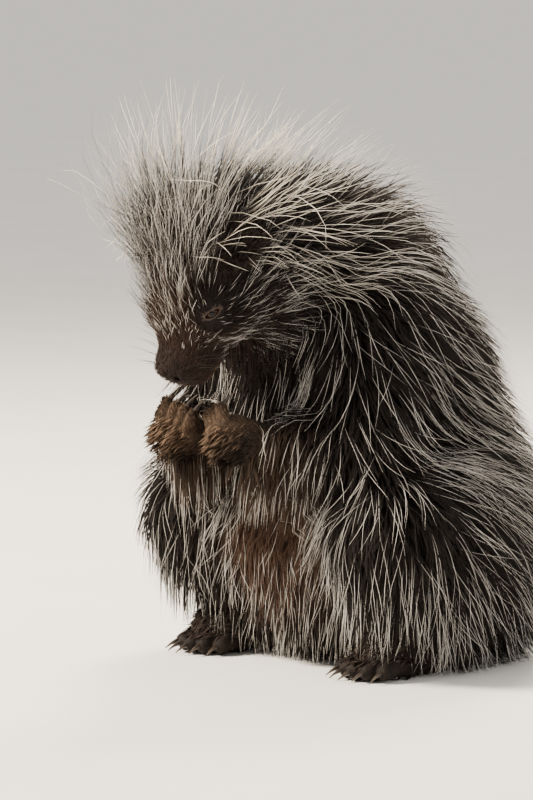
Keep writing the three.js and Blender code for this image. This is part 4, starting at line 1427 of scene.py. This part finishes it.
def underfur(count):
    """Soft tufts close to the skin, also where the coat is thin."""
    def density(points):
        thin = clear_of_face(points) * off_paws(points) * (headness(points) < BEHIND_HEAD)
        return long_density(points) + BARE_UNDERFUR * thin

    roots, unwrap = skin_map.roots(count, density)
    length = comb_at(roots)[1] * RANDOM.uniform(*UNDER_LENGTHS, count)
    tips = RANDOM.uniform(*UNDER_TIPS, count)
    paths = grow(roots, length, tips, UNDER_STEPS, RANDOM.normal(0, UNDER_STRAY, count), UNDER_WAVE)
    out = unit(slope_of(body_distance, roots))
    fur = shaded(roots, UNDER_SHADES)
    tip = fur * TIP_GAIN + UNDER_GLOW
    widths = length * RANDOM.uniform(*UNDER_WIDTHS, count)
    by_region("underfur", roots, lambda name, c: tuft_piece(
        name, paths[c], widths[c], UNDER_FLAT, out[c], unwrap[c], fur[c], tip[c], SHORT_FUR))


FACE_SPREAD = 0.012
CROWN_SPREAD = 0.022
CHEEK_DROP = 0.15
MUZZLE_TIP = (52, 64)
PART_ROUND_EYE = 1.6
FACE_AXES = np.array([ACROSS, FORWARD, CROWN])
ROUND_NOSE = np.array([0.06, 0, 0.06])
OFF_NOSE = np.array([0, 0.3, 0])


def face_way(points):
    """Short hair on the face runs back from the nose, round the eyes and towards the ears."""
    local = (points - SKULL) @ FACE_AXES.T
    back = -np.ones(len(points))
    way = np.stack([local[:, 0] * FACE_SPREAD, back, CROWN_SPREAD * local[:, 2] - CHEEK_DROP], 1)
    tip = smoothstep(local[:, 1], *MUZZLE_TIP)[:, None]
    way = way * (1 - tip) + local * ROUND_NOSE * tip - OFF_NOSE * tip
    way = unit(way @ FACE_AXES)
    nearest = np.where(points[:, :1] > 0, eye_at(1), eye_at(-1))
    return unit(way + PART_ROUND_EYE * near_eye(points)[:, None] * unit(points - nearest))


SHORT_STEPS = 2
SHORT_FLAT = 0.35
SHORT_CLEAR = 0.5


def short_fur(name, roots, unwrap, out, way, length, kind):
    """Short tufts that lie along the skin. Their lifts and widths are shares of their length."""
    count = len(roots)
    paths = lie(roots, out, way, length, length * RANDOM.uniform(*kind["lifts"], count), SHORT_STEPS)
    paths[:, :, 2] = np.maximum(paths[:, :, 2], SHORT_CLEAR)
    fur = shaded(roots, kind["shades"])
    tip = fur * kind["gain"] + kind["glow"]
    widths = length * RANDOM.uniform(*kind["widths"], count)
    pieces["coat"].append(tuft_piece(name, paths, widths, SHORT_FLAT, out, unwrap, fur, tip, SHORT_FUR))


SHORT_COAT = (10, 20)
NOSTRIL_CLEAR = (1.4, 3)
FACE_EDGE = -4
NOSE_WARDS = (10, 60)
FACE_FUR_LENGTH = 11
NOSE_SHORTER = 6
FACE_FUR_LENGTHS = (0.8, 1.2)
FACE_FUR_STRAY = 0.2
FACE_FUR = dict(lifts=(0.16, 0.32), widths=(0.07, 0.12), shades=(0.6, 1.4), gain=1.7, glow=0.003)
EYE_SHORTER = 0.72


def face_fur(count):
    """Short tufts over the face, shortest on the nose and round the eyes."""
    def density(points):
        bare = 1 - smoothstep(coat_depth(points), *SHORT_COAT)
        nostrils = [gap_to(points, nostril_at(side, NOSTRIL_MOUTH)) for side in SIDES.values()]
        wanted = (headness(points) > FACE_EDGE) * bare * clear_of_face(points)
        return wanted * smoothstep(np.minimum(*nostrils), *NOSTRIL_CLEAR)

    roots, unwrap = skin_map.roots(count, density)
    out = unit(slope_of(body_distance, roots))
    nose = smoothstep((roots - SKULL) @ FORWARD, *NOSE_WARDS)
    length = (FACE_FUR_LENGTH - NOSE_SHORTER * nose) * RANDOM.uniform(*FACE_FUR_LENGTHS, count)
    length *= 1 - EYE_SHORTER * near_eye(roots)
    way = turned(face_way(roots), out, RANDOM.normal(0, FACE_FUR_STRAY, count))
    short_fur("fur_face", roots, unwrap, out, way, length, FACE_FUR)


FOREHEAD = (12, 30)
MUZZLE = (30, 50)
FACE_HAIR_FADE = (-28, 44)
FACE_HAIR_LEAST = 9
FACE_HAIR_MORE = 30
FOREHEAD_MORE = 28
FACE_HAIR_LENGTHS = (0.5, 1.2)
FACE_HAIR_LIFTS = (0.22, 0.55)
FACE_HAIR_STRAY = 0.3
FACE_HAIR_WIDTH = 0.34
FACE_HAIR_STEPS = 4
FOREHEAD_DENSITY = 1.2
FOREHEAD_LIFT = 1.1
EYE_SPARSE = 0.7
EYE_HAIR_SHORTER = 0.6
SILVER_SHARE = 0.5
FOREHEAD_SILVER = 0.25
SILVER_SHADES = (0.6, 1.05)
BROWN_GAIN = 1.6


def face_hairs(count):
    """Fine silver hairs over the forehead, brow and cheeks, longer towards the crest."""
    def density(points):
        ahead = (points - SKULL) @ FORWARD
        crown = smoothstep((points - SKULL) @ CROWN, *FOREHEAD)
        wanted = (1 - smoothstep(ahead, *MUZZLE)) * (1 - EYE_SPARSE * near_eye(points))
        wanted = wanted * (1 + FOREHEAD_DENSITY * crown)
        return (headness(points) > 0) * clear_of_face(points) * wanted

    roots, unwrap = skin_map.roots(count, density)
    out = unit(slope_of(body_distance, roots))
    back = 1 - smoothstep((roots - SKULL) @ FORWARD, *FACE_HAIR_FADE)
    front = smoothstep((roots - SKULL) @ CROWN, *FOREHEAD)
    length = FACE_HAIR_LEAST + (FACE_HAIR_MORE + FOREHEAD_MORE * front) * back
    length *= RANDOM.uniform(*FACE_HAIR_LENGTHS, count)
    length *= 1 - EYE_HAIR_SHORTER * near_eye(roots)
    way = turned(face_way(roots), out, RANDOM.normal(0, FACE_HAIR_STRAY, count))
    lift = length * RANDOM.uniform(*FACE_HAIR_LIFTS, count) * (1 + FOREHEAD_LIFT * front)
    paths = lie(roots, out, way, length, lift, FACE_HAIR_STEPS)
    shown = ~covers_ear(paths)
    roots, unwrap, paths, count = roots[shown], unwrap[shown], paths[shown], shown.sum()
    silver = RANDOM.random(count) < SILVER_SHARE + FOREHEAD_SILVER * front[shown]
    fur = fur_colour(roots)
    tip = np.where(silver[:, None], SILVER * RANDOM.uniform(*SILVER_SHADES, (count, 1)), fur * BROWN_GAIN)
    pieces["coat"].append(hair_piece("hair_face", paths, FACE_HAIR_WIDTH, unwrap, fur, tip, GUARD))


EAR_FUR_LENGTHS = (4, 8)
EAR_FUR = dict(lifts=(0.2, 0.5), widths=(0.08, 0.14), shades=(0.6, 1.5), gain=2, glow=0.006)
EAR_BACKWARDS = 4
EAR_ZONE = -40


def ear_fur(count):
    """Short dark fur over both ears, which runs outwards over their rims."""
    fields = [ear_distance(side) for side in SIDES.values()]
    seats = [ear_at(side) + ear_way(side) * EAR_SEAT for side in SIDES.values()]

    def on_ears(points):
        gap = np.minimum(*[np.abs(field(points)) for field in fields])
        return (gap < EAR_SKIN) * (headness(points) > EAR_ZONE)

    roots, unwrap = skin_map.roots(count, on_ears)
    left = roots[:, :1] > 0
    out = np.where(left, *[unit(slope_of(field, roots)) for field in fields])
    way = unit(roots - np.where(left, *seats) + BACK * EAR_BACKWARDS)
    length = RANDOM.uniform(*EAR_FUR_LENGTHS, count)
    short_fur("fur_ears", roots, unwrap, out, way, length, EAR_FUR)


PAW_STRAY = 0.18
PAW_LENGTHS = (0.75, 1.25)
PAW_FUR = dict(lifts=(0.05, 0.18), widths=(0.12, 0.2), shades=(0.55, 1.35), gain=1.5, glow=0.004)
HAND_LIE = HAND_ALONG + HAND_PALM * 0.35
FOOT_LIE = unit(vec(0, -1, -0.25))


def paw_fur(name, skin_of_paw, masses, digits, lie_of_fur, count, length, wanted):
    """Short fur on both paws of a pair, which runs along the digits."""
    roots, unwrap = skin_of_paw.roots(count, wanted)
    both = [mirrored(mass, side) for mass in masses + digit_masses(digits) for side in SIDES.values()]
    out = unit(slope_of(lambda q: body_distance(q, 0.0, both), roots))
    way = np.where(roots[:, :1] > 0, lie_of_fur, flip(lie_of_fur, -1))
    way = turned(way, out, RANDOM.normal(0, PAW_STRAY, count))
    length = length * RANDOM.uniform(*PAW_LENGTHS, count)
    short_fur(name, roots, unwrap, out, way, length, PAW_FUR)


WHISKER_ROWS = 4
WHISKERS_IN_ROW = 4
WHISKER_LENGTHS = (28, 46)
WHISKER_WIDTH = 0.4
WHISKER_STEPS = 7
WHISKER_DARK = vec(0.012, 0.009, 0.008)


def whiskers():
    """Rows of long stiff hairs on both sides of the muzzle, which droop a little."""
    roots, ways = [], []
    for side in SIDES.values():
        for row in range(WHISKER_ROWS):
            for place in range(WHISKERS_IN_ROW):
                roots.append(in_head(side * (14 + place * 0.8), 56 - 5 * place, -8 + 4.5 * row))
                ways.append(head_way(side * (0.9 + 0.1 * row), -0.25 - 0.12 * place, -0.25 + 0.16 * row))
    roots, ways = np.array(roots), np.array(ways)
    count = len(roots)
    length = RANDOM.uniform(*WHISKER_LENGTHS, count)[:, None, None]
    share = np.linspace(0, 1, WHISKER_STEPS + 1)[None, :, None]
    sag = DOWN * 0.28 + BACK * 0.1
    paths = roots[:, None] + ways[:, None] * length * share + sag * length * share ** 2
    dark = np.tile(WHISKER_DARK, (count, 1))
    unwrap = np.tile(np.array([[0.5, 0.5]]), (count, 1))
    pieces["coat"].append(hair_piece("whiskers", paths, WHISKER_WIDTH, unwrap, dark, dark * 3, DARK_HAIR))


guard_hairs(5300)
dark_hairs(17000)
underfur(9600)
face_fur(13500)
face_hairs(3900)
ear_fur(4500)
paw_fur("fur_hands", hand_map, PALMS[:1], FINGER_SET, HAND_LIE, 9500, 4.4, lambda q: np.ones(len(q)))
paw_fur("fur_feet", skin_map, SOLES[:1], TOE_SET, FOOT_LIE, 8000, 12, lambda q: 1 - off_paws(q))
whiskers()

for slot, made in pieces.items():
    for piece in made:
        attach(piece, "root")


# Floor, light and camera.
AZIMUTH = math.radians(48)
ELEVATION = math.radians(5.5)
CAMERA_DISTANCE = 3.5
LENS = 210
SENSOR = 36
CLIP_END = 1000
WARM = (1.0, 0.88, 0.72)
COOL = (0.97, 0.97, 1.0)
TARGET_ASIDE = -0.059
TARGET_HEIGHT = 0.195
TARGET = Vector((TARGET_ASIDE * math.cos(AZIMUTH), TARGET_ASIDE * math.sin(AZIMUTH), TARGET_HEIGHT))


def aim(thing, place, target):
    thing.location = place
    thing.rotation_euler = (Vector(target) - Vector(place)).to_track_quat("-Z", "Y").to_euler()


def camera_direction(azimuth, elevation):
    flat = math.cos(elevation)
    return Vector((math.sin(azimuth) * flat, -math.cos(azimuth) * flat, math.sin(elevation)))


def add_camera():
    data = bpy.data.cameras.new("camera")
    data.lens = LENS
    data.sensor_width = SENSOR
    data.clip_end = CLIP_END
    camera = bpy.data.objects.new("camera", data)
    bpy.context.collection.objects.link(camera)
    aim(camera, TARGET + camera_direction(AZIMUTH, ELEVATION) * CAMERA_DISTANCE, TARGET)
    bpy.context.scene.camera = camera


def add_light(name, turn, height, distance, size, power, colour):
    """A soft light, turned from the camera's side about the upright axis."""
    data = bpy.data.lights.new(name, "AREA")
    data.shape = "DISK"
    data.size, data.energy, data.color = size, power, colour
    light = bpy.data.objects.new(name, data)
    bpy.context.collection.objects.link(light)
    way = camera_direction(AZIMUTH + math.radians(turn), math.radians(height))
    aim(light, TARGET + way * distance, TARGET)


FLOOR_SIZE = 400.0
FLOOR_CELLS = 20


def add_floor():
    steps = (np.arange(FLOOR_CELLS + 1) - FLOOR_CELLS / 2) * FLOOR_SIZE / FLOOR_CELLS
    points = np.array([[x, y, 0.0] for y in steps for x in steps])
    corner = np.array([j * (FLOOR_CELLS + 1) + i for j in range(FLOOR_CELLS) for i in range(FLOOR_CELLS)])
    faces = np.stack([corner, corner + 1, corner + FLOOR_CELLS + 2, corner + FLOOR_CELLS + 1], 1)
    material, nodes, link, shader = new_material("pale floor", 0.9)
    soft = ramp(nodes, link, noise(nodes, link, 6, 3), (0.3, 0.84), (0.7, 0.88))
    link(colour_mix(nodes, link, "MULTIPLY", 1.0, soft, (1.0, 0.97, 0.93, 1)), shader.inputs["Base Color"])
    floor = mesh_piece("floor", points / MM, faces, material)


def add_sky():
    world = bpy.data.worlds.new("studio")
    world.use_nodes = True
    bpy.context.scene.world = world
    background = world.node_tree.nodes["Background"]
    background.inputs["Color"].default_value = (1.0, 0.965, 0.92, 1)
    background.inputs["Strength"].default_value = 0.95


add_camera()
add_floor()
add_sky()
add_light("key", turn=-84, height=42, distance=2.4, size=0.7, power=210, colour=WARM)
add_light("back", turn=165, height=48, distance=2.4, size=0.9, power=90, colour=WARM)
add_light("fill", turn=35, height=20, distance=3.0, size=1.2, power=14, colour=COOL)
